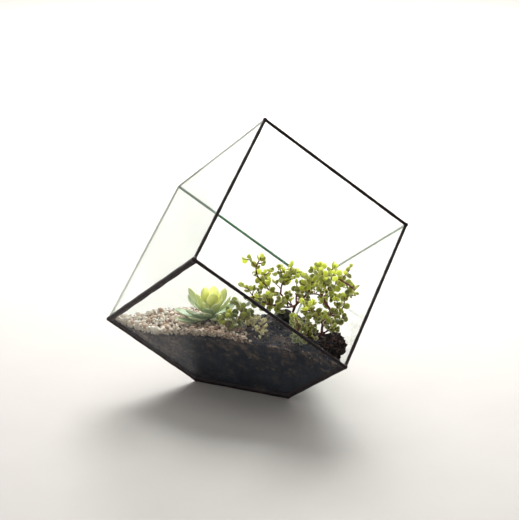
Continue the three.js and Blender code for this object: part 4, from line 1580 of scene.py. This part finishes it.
@dataclass
class Stones:
    """The smooth dark pebble and the chunk of bark."""

    pebble_at: Triple = (22.0, -20.0, 62.5)
    pebble_size: Triple = (7.6, 6.6, 6.6)
    pebble_phase: float = 0.6
    pebble_room: float = 7.2
    bark_at: Triple = (59.0, -78.0, 60.0)
    bark_size: Triple = (10.5, 8.5, 8.5)
    bark_phase: float = 1.9
    bark_room: float = 9.5

    def _pebble(self) -> None:
        """Builds the smooth pebble."""
        points, faces = ball(5)
        shaped = []
        for p in points:
            wave = lumps(p, self.pebble_phase)
            shaped.append(p * (1 + 0.04 * wave + 0.012 * noise.noise(Vector(p) * 3)))
        draft = Draft()
        draft.add(np.array(shaped) * vec(*self.pebble_size) + vec(*self.pebble_at), faces, UNMARKED)
        settle(draft.make("dark_pebble", [Finish.STONE]), "stone", "stone_dark")

    def _bark(self) -> None:
        """Builds the bark with layered ridges, kept inside the glass."""
        points, faces = ball(6)
        shaped, marks = [], []
        for p in points:
            wave = lumps(p, self.bark_phase)
            spot = Vector(p) * 2.6
            ridge = noise.ridged_multi_fractal(spot, 0.8, 2.2, 4, 1.0, 2.0) - 1.1
            block = noise.cell(Vector(p) * 2.1 + Vector((3.3, 1.7, 5.2)))
            layer = 0.09 * math.sin(15 * p[2] + 2.5 * noise.noise(spot)) + 0.1 * noise.noise(spot * 2.3)
            reach = 0.97 + 0.12 * wave + 0.2 * ridge + layer + 0.11 * block
            place = p * reach * vec(*self.bark_size) * 0.97 + vec(*self.bark_at)
            shaped.append(CUBE.pushed_in(place, CUBE.glass + GAP))
            marks.append((clamp(0.5 + ridge), 0.0, 0.0))
        draft = Draft()
        draft.add(np.array(shaped), faces, np.array(marks))
        settle(draft.make("bark_piece", [Finish.BARK]), "bark", "bark_chunk")

    def build(self) -> None:
        """Builds both."""
        self._pebble()
        self._bark()

    def plan(self, bedding: "Bedding") -> None:
        """Keeps the space of both."""
        bedding.take("stone_dark", vec(*self.pebble_at), self.pebble_room)
        bedding.take("bark_chunk", vec(*self.bark_at), self.bark_room)


# ---- Plants --------------------------------------------------------------------------------------
@dataclass
class Leaf:
    """Where one leaf grows, which way it points and faces, and its size."""

    root: np.ndarray
    along: np.ndarray
    face: np.ndarray
    length: float
    width: float
    tone: float = 0.5

    STATIONS = (0.0, 0.05, 0.14, 0.27, 0.41, 0.55, 0.68, 0.8, 0.9, 0.965, 1.0)
    SIDES = 12

    def draw(self, draft: Draft, thickness: float, widest: float, finish: int) -> None:
        """Adds the leaf as a fleshy rounded blade, a little cupped.

        Args:
            draft: the piece that it is added to.
            thickness: at its middle.
            widest: the share of its length where it is widest.
            finish: the number of its material.
        """
        normal = unit(self.face - self.along * float(self.face @ self.along))
        side = np.cross(normal, self.along)
        skew = math.log(0.5) / math.log(widest)
        turn = np.linspace(0, 2 * math.pi, self.SIDES, endpoint=False)
        cup = self.length * (0.05 + 0.08 * self.tone)
        rings, marks = [], []
        for t in self.STATIONS:
            bow = math.sqrt(max(0.0, 1 - (2 * t**skew - 1) ** 2))
            half = max(0.5 * self.width * bow, 0.16 if t < 0.5 else 0.05)
            thick = max(0.5 * thickness * bow**0.6, 0.14 if t < 0.5 else 0.04)
            middle = self.root + self.along * (t * self.length) + normal * cup * (4 * (t - 0.5) ** 2 - 0.6)
            across, lift = np.cos(turn), np.sin(turn)
            body = np.sign(lift) * np.abs(lift) ** 0.8 * thick + 0.5 * cup * across**2 * bow
            rings.append(middle + np.outer(across * half, side) + np.outer(body, normal))
            gone = np.minimum(half * (1 - np.abs(across)), (1 - t) * self.length * 0.9)
            edge = np.clip(1 - gone / (0.13 * self.width + 0.25), 0, 1)
            marks.append(np.column_stack((edge, np.full(self.SIDES, self.tone), np.full(self.SIDES, t))))
        draft.loft(rings, np.concatenate(marks), finish)


@dataclass
class Stem:
    """One leafy stem as it is planned: its route, its twigs and its leaves."""

    name: str
    radius: float
    leafy: float
    twigs: int
    seed: int
    leaf: float
    route: tuple[Triple, ...]
    parent: "Stem | None" = None
    pitch: float | None = None
    bushy: float = 1.0
    lift: float = 0.3

    def points(self) -> list[np.ndarray]:
        """Works out the points of its route, from just off the stem that carries it.

        Returns:
            The points.
        """
        points = [vec(*p) for p in self.route]
        if self.parent:
            points[0] = points[0] + unit(points[1] - points[0]) * (self.parent.radius + 1.5 * GAP)
        return points


@dataclass
class Growth:
    """What grew on a stem: its side twigs and its leaves."""

    twigs: list[Route] = field(default_factory=list)
    leaves: list[Leaf] = field(default_factory=list)


class Bedding:
    """Lays out leaves so that none runs into the glass, the ground or a neighbour, as in the solids."""

    OWN = 0.62
    LAST = 0.96
    LEAF_MIDDLE = 0.55
    LEAF_ROOM = 0.46
    STEM_PITCH = 5.4
    TWIG_PITCH = 4.4
    TWIG_REACH = (7.0, 14.0)
    TWIG_LEAFY = 0.35
    SHOOT_LEAVES = 4.2
    SHOOT_PITCH = 4.6
    SHOOT_TILT = 2.3
    SHOOT_REACH = (4.0, 9.0)
    SHOOT_SIZE = (0.66, 1.02)
    THROUGH = ("left", "open", "top", "right", "back", "lower", "base")

    def __init__(self) -> None:
        """Starts with nothing planted."""
        self.spots: list[tuple[str, np.ndarray, float, bool]] = []

    def take(self, piece: str, center: np.ndarray, radius: float, leaf: bool = False) -> None:
        """Keeps a round space for a piece."""
        self.spots.append((piece, center, radius, leaf))

    def is_free(self, piece: str, center: np.ndarray, radius: float) -> bool:
        """Says whether a round space is clear of all but its own piece's stem.

        Args:
            piece: the piece that wants it.
            center: its middle.
            radius: its radius.

        Returns:
            True where it is.
        """
        for name in self.THROUGH:
            normal, reach = CUBE.walls[name]
            clear = GAP if name == "open" else CUBE.glass + GAP
            if float(normal @ center) > reach - clear - radius:
                return False
        x, y, z = center
        beside = [(x + i * radius, y + j * radius) for i, j in ((0, 0), (1, 0), (-1, 0), (0, 1), (0, -1))]
        ground = max(max(GROUND.facet(*p), GROUND.gravel(*p)) for p in beside)
        if z - 0.9 * radius < ground + GAP:
            return False
        for owner, middle, reach, leaf in self.spots:
            away = math.dist(middle, center)
            if owner != piece:
                if away < reach + radius + GAP:
                    return False
            elif leaf and away < self.OWN * (reach + radius):
                return False
        return True

    def leaves_along(self, stem: Stem, route: Route, start: float, pitch: float, size: float,
                     chance: Chance, tilt: float = 1.0) -> list[Leaf]:
        """Lays pairs of leaves along a route, each a quarter turn from the last, and one at its tip.

        Args:
            stem: the stem that they belong to.
            route: the stem's route, or a twig's.
            start: the share of the length where leaves start.
            pitch: from one pair to the next.
            size: a leaf's usual length.
            chance: where sizes and turns come from.
            tilt: how far the faces of leaves turn off to the sides and up.

        Returns:
            The leaves that there is room for.
        """
        leaves: list[Leaf] = []

        def spot(root: np.ndarray, along: np.ndarray, length: float) -> None:
            """Adds one leaf where there is room.

            Args:
                root: where it grows.
                along: which way it points.
                length: its length.
            """
            center = root + along * length * self.LEAF_MIDDLE
            if not self.is_free(stem.name, center, length * self.LEAF_ROOM):
                return
            self.take(stem.name, center, length * self.LEAF_ROOM, True)
            aside, ahead, up = (chance.draw() for _ in range(3))
            face = unit(vec(1.2 * tilt * (aside - 0.5), -0.2 - ahead, 1.1 * tilt * up))
            width = length * lerp(0.82, 0.98, chance.draw())
            leaves.append(Leaf(root - along * 0.35, along, face, length, width, self.tone(center)))

        pairs = max(1, math.floor(route.length * (1 - start) / pitch + 0.5))
        first = chance.draw() * math.pi
        for i in range(pairs):
            t = min(0.98, start + ((i + 0.6) / pairs) * (1 - start))
            tangent, root = route.tangent(t), route.at(t)
            for turned in (0, math.pi):
                spread = around(tangent, first + i * math.pi / 2 + turned + 0.5 * (chance.draw() - 0.5))
                along = unit(spread + tangent * lerp(0.25, 0.7, chance.draw()) + vec(0, 0, 0.15))
                spot(root, along, size * lerp(0.72, 1.08, chance.draw()))
        end = route.tangent(1)
        spot(route.at(1) - end * 0.5, end, size * 0.7)
        return leaves

    @staticmethod
    def tone(center: np.ndarray) -> float:
        """Returns how young and how lit a leaf is drawn: scattered, and lighter towards the top of the bush,
        partly as young growth and partly as painted light.
        """
        scatter = 0.55 * math.sin(center[0] * 1.7 + center[2] * 2.3 + center[1] * 3.1)
        return clamp(0.4 + scatter + 0.45 * (center[2] - 85) / 25)

    def fill(self, stem: Stem, growth: Growth) -> None:
        """Adds the short side shoots that the solids leave out, each with a few small leaves.

        Args:
            stem: the stem that they grow from.
            growth: what has grown on it, which is added to.
        """
        chance = Chance(stem.seed + 1000)
        route = Route(stem.points())
        carriers = [(route, max(0.12, stem.leafy - 0.3))] + [(twig, 0.3) for twig in growth.twigs]
        for carrier, start in carriers:
            count = max(1, round(stem.bushy * carrier.length * (1 - start) / self.SHOOT_PITCH))
            for i in range(count):
                t = lerp(start, self.LAST, ((i + chance.draw()) / count) ** 1.35)
                tangent, root = carrier.tangent(t), carrier.at(t)
                aside = around(tangent, chance.draw() * 2 * math.pi)
                out = unit(aside + tangent * 0.4 + vec(0, 0, stem.lift))
                reach = chance.between(*self.SHOOT_REACH)
                tip = root + out * reach + vec(0, 0, 0.1 * reach)
                if not self.is_free(stem.name, tip, 0.9):
                    continue
                shoot = Route([root, (root + tip) / 2 + vec(0, 0, -0.05 * reach), tip])
                size = stem.leaf * chance.between(*self.SHOOT_SIZE)
                leaves = self.leaves_along(
                    stem, shoot, self.TWIG_LEAFY, self.SHOOT_LEAVES, size, chance, self.SHOOT_TILT)
                if leaves:
                    self.take(stem.name, tip, 0.6)
                    growth.twigs.append(shoot)
                    growth.leaves += leaves

    def grow(self, stem: Stem) -> Growth:
        """Grows a stem as in the solids.

        Args:
            stem: the stem.

        Returns:
            Its twigs and leaves.
        """
        chance, growth = Chance(stem.seed), Growth()
        route = Route(stem.points())
        for i in range(stem.twigs):
            t = lerp(stem.leafy, self.LAST, (i + 0.5 * chance.draw()) / stem.twigs)
            tangent, root = route.tangent(t), route.at(t)
            out = unit(around(tangent, chance.draw() * 2 * math.pi) + tangent * 0.5 + vec(0, 0, 0.45))
            reach = chance.between(*self.TWIG_REACH)
            tip = root + out * reach + vec(0, 0, 0.12 * reach)
            middle = (root + tip) / 2 + vec(0, 0, -0.06 * reach)
            if not self.is_free(stem.name, tip, 1.2) or not self.is_free(stem.name, middle, 1.0):
                continue
            self.take(stem.name, tip, 0.8)
            self.take(stem.name, middle, 0.8)
            twig = Route([root, middle, tip])
            growth.twigs.append(twig)
            pitch = stem.pitch or self.TWIG_PITCH
            growth.leaves += self.leaves_along(
                stem, twig, self.TWIG_LEAFY, pitch, stem.leaf * 0.92, chance)
        pitch = stem.pitch or self.STEM_PITCH
        growth.leaves += self.leaves_along(stem, route, stem.leafy, pitch, stem.leaf, chance)
        return growth


MAIN = Stem("bush_stem_main", 0.95, 0.55, 5, 11, 7.0, (
    (28, -10, 48), (28, -10, 57), (30, -12, 66), (32, -14, 71), (40, -18, 81), (46, -23, 93), (51, -26, 99),
    (57, -29, 103)), bushy=0.8)
NEAR = Stem("bush_stem_near", 1.0, 0.62, 6, 23, 6.6, (
    (44, -56, 47), (44, -56, 55), (51, -55, 61), (52, -54, 67), (58, -52, 75), (58, -49, 79), (54, -46, 85),
    (51, -42, 95), (60, -43, 104), (71, -48, 101), (76, -51, 98)), bushy=0.7)
LEFT = Stem("bush_branch_left", 0.7, 0.3, 4, 37, 6.8, (
    (31.5, -13.6, 70), (26, -18, 70), (16, -23, 73), (4, -27, 78), (-1, -30, 82), (-8, -33, 84)), MAIN,
    bushy=1.3)
TALL = Stem("bush_branch_tall", 0.7, 0.3, 3, 41, 6.4, (
    (30.4, -12.3, 67), (24, -7, 71), (19, -6, 77), (10, -5, 80), (6, -5, 85), (0, -6, 93), (-1, -8, 101),
    (3, -9, 110)), MAIN, pitch=7, bushy=0.7)
BUSH_STEMS = (
    MAIN, NEAR, LEFT, TALL,
    Stem("bush_branch_second", 0.6, 0.2, 3, 47, 6.4, (
        (19, -6, 77), (20, -4, 84), (23, -4, 91), (28, -6, 97)), TALL, bushy=1.4),
    Stem("bush_branch_middle", 0.65, 0.35, 3, 53, 6.2, (
        (32, -14, 71), (32, -8, 76), (35, -3, 81), (43, 1, 87)), MAIN, bushy=1.5),
    Stem("bush_branch_crossing", 0.6, 0.4, 2, 59, 6.0, (
        (40, -18, 81), (47, -14, 80), (55, -11, 77), (62, -12, 78)), MAIN, bushy=1.3),
    Stem("bush_branch_front", 0.65, 0.35, 4, 61, 6.2, (
        (52, -54, 67), (51, -60, 73), (49, -64, 80), (44, -66, 85), (37, -68, 85)), NEAR),
    Stem("bush_branch_right", 0.65, 0.25, 4, 71, 5.6, (
        (58, -52, 75), (65, -46, 75), (69, -43, 80), (70, -41, 87)), NEAR, bushy=1.3),
    Stem("bush_branch_low", 0.65, 0.3, 3, 83, 6.2, (
        (46.5, -55.5, 58), (42, -62, 62), (37, -68, 65), (31, -74, 68)), NEAR, bushy=4.2, lift=-0.75),
    Stem("bush_branch_side", 0.65, 0.2, 2, 91, 6.4, (
        (50.5, -55, 60.5), (57, -50, 62), (64, -44, 65), (69, -40, 70)), NEAR, pitch=5.6, bushy=2.4,
        lift=0.1),
)
SPRIG_STEMS = (
    Stem("sprig_dark", 0.8, 0.5, 3, 97, 8.0, (
        (-16, -34, 46), (-16, -34, 56), (-16, -34, 62), (-14, -33, 68), (-12, -31, 74)), pitch=5, bushy=1.3),
    Stem("sprig_dark_trailing", 0.7, 0.6, 3, 101, 7.5, (
        (-22, -44, 46), (-22, -44, 57), (-24, -45, 63), (-28, -46, 67)), pitch=5, bushy=3.0, lift=-0.2),
    Stem("sprig_pale", 0.6, 0.62, 3, 107, 3.6, (
        (-5, -32, 48), (-5, -32, 58), (-6, -34, 61), (-9, -37, 62)), pitch=4, bushy=2.5),
    Stem("sprig_pale_small", 0.6, 0.62, 3, 113, 3.4, (
        (0, -42, 48), (0, -42, 58), (2, -44, 61), (5, -47, 62)), pitch=4, bushy=2.5),
)


@dataclass
class LeafyStems:
    """The stems of the bush and the sprigs: each is one piece with its twigs and leaves."""

    bedding: Bedding
    stems: tuple[Stem, ...] = (*BUSH_STEMS, *SPRIG_STEMS)
    leaf_thickness: float = 1.35
    twig: Span = (0.52, 0.34)
    twig_age: float = 0.1
    taper: Span = (1.18, 0.72)
    knuckle: float = 0.16
    knuckle_pitch: float = 5.4

    def plan(self) -> None:
        """Keeps the space of every stem."""
        for stem in self.stems:
            route = Route(stem.points())
            count = math.ceil(route.length / 2)
            for i in range(count + 1):
                self.bedding.take(stem.name, route.at(i / count), stem.radius)

    def _finishes(self, stem: Stem) -> tuple[str, list[Finish], float]:
        """Picks how a stem is dressed.

        Args:
            stem: the stem.

        Returns:
            Its slot, its materials, and where its leaves are widest.
        """
        if stem.name.startswith("bush"):
            return "bush", [Finish.STEM, Finish.BUSH], 0.58
        if "dark" in stem.name:
            return "sprig", [Finish.PALE_STEM, Finish.SPRIG], 0.5
        return "cover", [Finish.PALE_STEM, Finish.COVER], 0.52

    def _stem(self, draft: Draft, stem: Stem) -> None:
        """Adds the stem itself, thicker at its foot and at each pair of leaves.

        Args:
            draft: the piece that it is added to.
            stem: the stem.
        """
        points = stem.points()
        if stem.parent:
            points[0] = vec(*stem.route[0])
        route = Route(points)
        woody = 0.9 if stem in (MAIN, NEAR) else 0.3

        def radius(share: float) -> float:
            """Returns the stem's radius."""
            knot = (share * route.length / self.knuckle_pitch) % 1 - 0.5
            return stem.radius * (lerp(*self.taper, share) + self.knuckle * math.exp(-((knot / 0.12) ** 2)))

        steps = max(10, int(route.length / 0.9))
        draft.tube(route, radius, steps, 10, aged(woody * 0.5))

    def build(self) -> None:
        """Builds every leafy stem."""
        grown = [(stem, self.bedding.grow(stem)) for stem in self.stems]
        for stem, growth in grown:
            self.bedding.fill(stem, growth)
            slot, finishes, widest = self._finishes(stem)
            draft = Draft()
            self._stem(draft, stem)
            for twig in growth.twigs:
                draft.tube(twig, lambda share: lerp(*self.twig, share), 10, 8, aged(self.twig_age))
            for leaf in growth.leaves:
                leaf.draw(draft, self.leaf_thickness, widest, 1)
            piece = draft.make(stem.name + "_grown", finishes)
            settle(piece, slot, stem.name)
            log.info("%s: %d leaves", stem.name, len(growth.leaves))


@dataclass
class Echeveria:
    """The small rosette: fleshy spoon leaves with a point, and a short trunk."""

    middle: Triple = (*GROUND.rosette, 62.5)
    trunk: float = 3.2
    flare: Span = (0.9, 1.15)
    trunk_age: float = 0.3
    curl: float = 14.0
    keel: float = 2.8
    thickness: float = 1.35
    sides: int = 18
    leaves: tuple[tuple[float, float, float, float], ...] = (
        (156, 30, 28, 10), (146, 15, 26, 10), (138, 56, 22, 11.5), (59, 62, 22.5, 10.5), (-62, 66, 18, 11),
        (40, 36, 24, 10.5), (-7, 30, 22, 10.5), (188, -1, 30, 13), (205, 6, 24, 11.5), (212, -12, 32, 12),
        (232, -14, 27, 12), (-74, -4, 22, 10), (96, 26, 24, 10), (76, 10, 24, 10), (118, 6, 24, 10),
        (19, 8, 23, 10), (-36, 6, 23, 10), (-104, 10, 20, 10), (100, 74, 13, 7), (222, 68, 13, 7.5),
        (340, 74, 12, 7),
    )
    middle_leaves: tuple[tuple[float, float, float, float], ...] = (
        (168, 40, 20, 9.5), (202, 30, 20, 10), (236, 40, 16, 9), (298, 36, 16, 9), (332, 42, 18, 9),
        (18, 50, 19, 9.5), (262, 22, 17, 9.5), (110, 48, 19, 9.5),
    )
    heart_leaves: tuple[Span, ...] = ((10, 80), (130, 82), (250, 80), (60, 84), (190, 85))
    heart_size: Span = (9.5, 4.2)
    placed: list[tuple[np.ndarray, float, float, float, float]] = field(default_factory=list)

    STATIONS = (0.06, 0.16, 0.28, 0.4, 0.52, 0.63, 0.73, 0.81, 0.88, 0.93, 0.965, 0.985, 1.01, 1.05)

    def plan(self, bedding: Bedding) -> None:
        """Lifts each leaf clear of the gravel and keeps its space.

        Args:
            bedding: where the space is kept.
        """
        x, y, z = self.middle
        for compass, rise, length, width in self.leaves:
            center = vec(x, y, z + max(0, rise) * 0.03)
            flat = heading(compass)
            lift = float(rise)
            while any(self._sinks(center, flat, lift, length, t) for t in (0.5, 0.75, 1)):
                lift += 1
            self.placed.append((center, compass, lift, length, width))
            for t in (0.35, 0.65, 0.92):
                reach = math.radians(lift + self.curl * t * t)
                out = flat * math.cos(reach) + vec(0, 0, math.sin(reach))
                bedding.take("echeveria", center + out * t * length, width * 0.5)

    def _sinks(
            self, center: np.ndarray, flat: np.ndarray, lift: float, length: float, t: float) -> bool:
        """Returns whether a leaf would lie in the gravel at a share of its length."""
        under = center[2] + t * length * math.sin(math.radians(lift + self.curl * t * t)) - self.keel
        return under < GROUND.gravel(center[0] + t * length * flat[0], center[1] + t * length * flat[1]) + GAP

    def _leaf(self, draft: Draft, center: np.ndarray, compass: float, rise: float, length: float,
              width: float, inner: float) -> None:
        """Adds one leaf: flat or hollow above, keeled below, broadest near its pointed tip.

        Args:
            draft: the piece that it is added to.
            center: where the rosette's leaves meet.
            compass: which way it grows.
            rise: how steeply.
            length: its length.
            width: its width.
            inner: 0 for the outermost leaves and 1 for the innermost.
        """
        flat = heading(compass)
        side = vec(-flat[1], flat[0], 0)
        turn = np.linspace(0, 2 * math.pi, self.sides, endpoint=False)
        rings, marks = [], []
        for t in self.STATIONS:
            lift = math.radians(rise + self.curl * t * t)
            axis = flat * math.cos(lift) + vec(0, 0, math.sin(lift))
            normal = vec(0, 0, math.cos(lift)) - flat * math.sin(lift)
            grow = lerp(0.34, 1.0, clamp(t / 0.7) ** 1.25)
            close = math.sqrt(max(0.0, 1 - (clamp((t - 0.66) / 0.34)) ** 2.0))
            half = max(0.5 * width * grow * close, 0.3 if t < 1.03 else 0.08)
            thick = self.thickness * (1 - 0.25 * t) * max(close, 0.18) ** 0.5
            middle = center + axis * (t * length)
            across, up = np.cos(turn), np.sin(turn)
            above = np.clip(up, 0, 1) * thick * 0.3 + 0.26 * half * across**2 * (0.4 + 0.6 * t)
            below = np.clip(-up, 0, 1) ** 0.9 * thick * 1.15
            rings.append(middle + np.outer(across * half, side) + np.outer(above - below, normal))
            gone = np.minimum(half * (1 - np.abs(across)), max(0.0, 1.0 - t) * length)
            edge = np.clip(1 - gone / 1.1, 0, 1)
            marks.append(np.column_stack((edge, np.full(self.sides, inner), np.full(self.sides, t))))
        draft.loft(rings, np.concatenate(marks), 0)

    def build(self) -> None:
        """Builds the rosette as one piece."""
        draft = Draft()
        x, y, z = self.middle
        foot = Route([vec(x, y, z - 9), vec(x, y, z - 4), vec(x, y, z + 2)])
        draft.tube(
            foot, lambda share: self.trunk * lerp(*self.flare, share), 8, 14, aged(self.trunk_age), 1)
        for center, compass, lift, length, width in self.placed:
            inner = clamp((lift - 12) / 42)
            self._leaf(draft, center, compass, lift, length, width, inner)
        for compass, lift, length, width in self.middle_leaves:
            self._leaf(draft, vec(x, y, z + 1), compass, lift, length, width, clamp((lift - 20) / 30))
        length, width = self.heart_size
        for i, (compass, lift) in enumerate(self.heart_leaves):
            self._leaf(draft, vec(x, y, z + 2), compass, lift, length - i, width, 1.0)
        settle(draft.make("echeveria_rosette", [Finish.ROSETTE, Finish.PALE_STEM]), "rosette", "echeveria")


# ---- Stage ---------------------------------------------------------------------------------------
@dataclass
class Lamp:
    """A soft square lamp: where it hangs, the point that it lights, its sides and its watts."""

    name: str
    place: Triple
    aim: Triple
    size: float
    power: float

    def hang(self) -> None:
        """Hangs the lamp."""
        data = bpy.data.lights.new(self.name, "AREA")
        data.shape = "SQUARE"
        data.size = self.size
        data.energy = self.power
        lamp = shown(self.name, data)
        lamp.location = self.place
        lamp.rotation_euler = (Vector(self.aim) - Vector(self.place)).to_track_quat("-Z", "Y").to_euler()


@dataclass
class Stage:
    """A plain pale floor, soft light from behind and above, and the camera."""

    distance: float = 1.3913
    height: float = 0.5776
    aside: float = 0.0017
    tilt: float = 18.78
    focal: float = 124.07
    sensor: float = 36.0
    floor: tuple[Triple, ...] = ((-6, -4, 0), (6, -4, 0), (6, 9, 0), (-6, 9, 0))
    floor_tones: tuple[Colour, Colour] = ((0.475, 0.45, 0.42), (0.49, 0.465, 0.435))
    lamps: tuple[Lamp, ...] = (
        Lamp("back_light", (0.12, 1.2, 0.92), (0.0, 0.12, 0.0), 0.75, 42),
        Lamp("far_wash", (0.0, 2.7, 1.4), (0.0, 2.7, 0.0), 1.5, 40),
        Lamp("fill_light", (-0.9, -1.2, 1.3), (0.0, 0.0, 0.08), 1.2, 3.5),
    )
    room_span: Span = (-0.8, 0.8)
    room: Span = (0.16, 1.1)

    def _floor(self) -> None:
        """Lays the floor."""
        r = Recipe("pale_floor")
        colour = r.blend(r.noise(60, 3).spread(0.3, 0.7), *self.floor_tones)
        mesh = bpy.data.meshes.new("floor")
        mesh.from_pydata(self.floor, [], [(0, 1, 2, 3)])
        mesh.materials.append(r.finish(r.body(Base_Color=colour, Roughness=0.7, Specular_IOR_Level=0.2)))
        floor = shown("floor", mesh)

    def _camera(self) -> None:
        """Sets the camera."""
        data = bpy.data.cameras.new("camera")
        data.lens = self.focal
        data.sensor_width = self.sensor
        camera = shown("camera", data)
        camera.location = (self.aside, -self.distance, self.height)
        camera.rotation_euler = (math.radians(90 - self.tilt), 0, 0)
        bpy.context.scene.camera = camera

    def _room(self) -> None:
        """Surrounds the stage with soft white light, weaker from the front than from the window side."""
        world = bpy.data.worlds.new("soft_room")
        bpy.context.scene.world = world
        world.use_nodes = True
        tree = world.node_tree
        light = tree.nodes["Background"]
        light.inputs["Color"].default_value = (1.0, 1.0, 1.0, 1.0)
        parts = tree.nodes.new("ShaderNodeSeparateXYZ")
        grade = tree.nodes.new("ShaderNodeMapRange")
        for socket, value in zip(grade.inputs[1:5], (*self.room_span, *self.room)):
            socket.default_value = value
        tree.links.new(tree.nodes.new("ShaderNodeTexCoord").outputs["Generated"], parts.inputs[0])
        tree.links.new(parts.outputs["Y"], grade.inputs[0])
        tree.links.new(grade.outputs[0], light.inputs["Strength"])

    def build(self) -> None:
        """Sets the stage."""
        self._camera()
        self._floor()
        for lamp in self.lamps:
            lamp.hang()
        self._room()
        bpy.context.scene.view_settings.view_transform = "Standard"
        log.info("stage set")


def main() -> None:
    """Builds every class in order and notes the sizes."""
    logging.basicConfig(level=logging.INFO, format="%(message)s")
    Stage().build()
    SolderWork().build()
    GluedJoints().build()
    Glazing().build()
    SoilBed().build()
    GravelBed().build()
    Litter().build()
    bedding, stones, rosette = Bedding(), Stones(), Echeveria()
    stones.build()
    stems = LeafyStems(bedding)
    stems.plan()
    stones.plan(bedding)
    rosette.plan(bedding)
    rosette.build()
    stems.build()


if __name__ == "__main__":
    main()
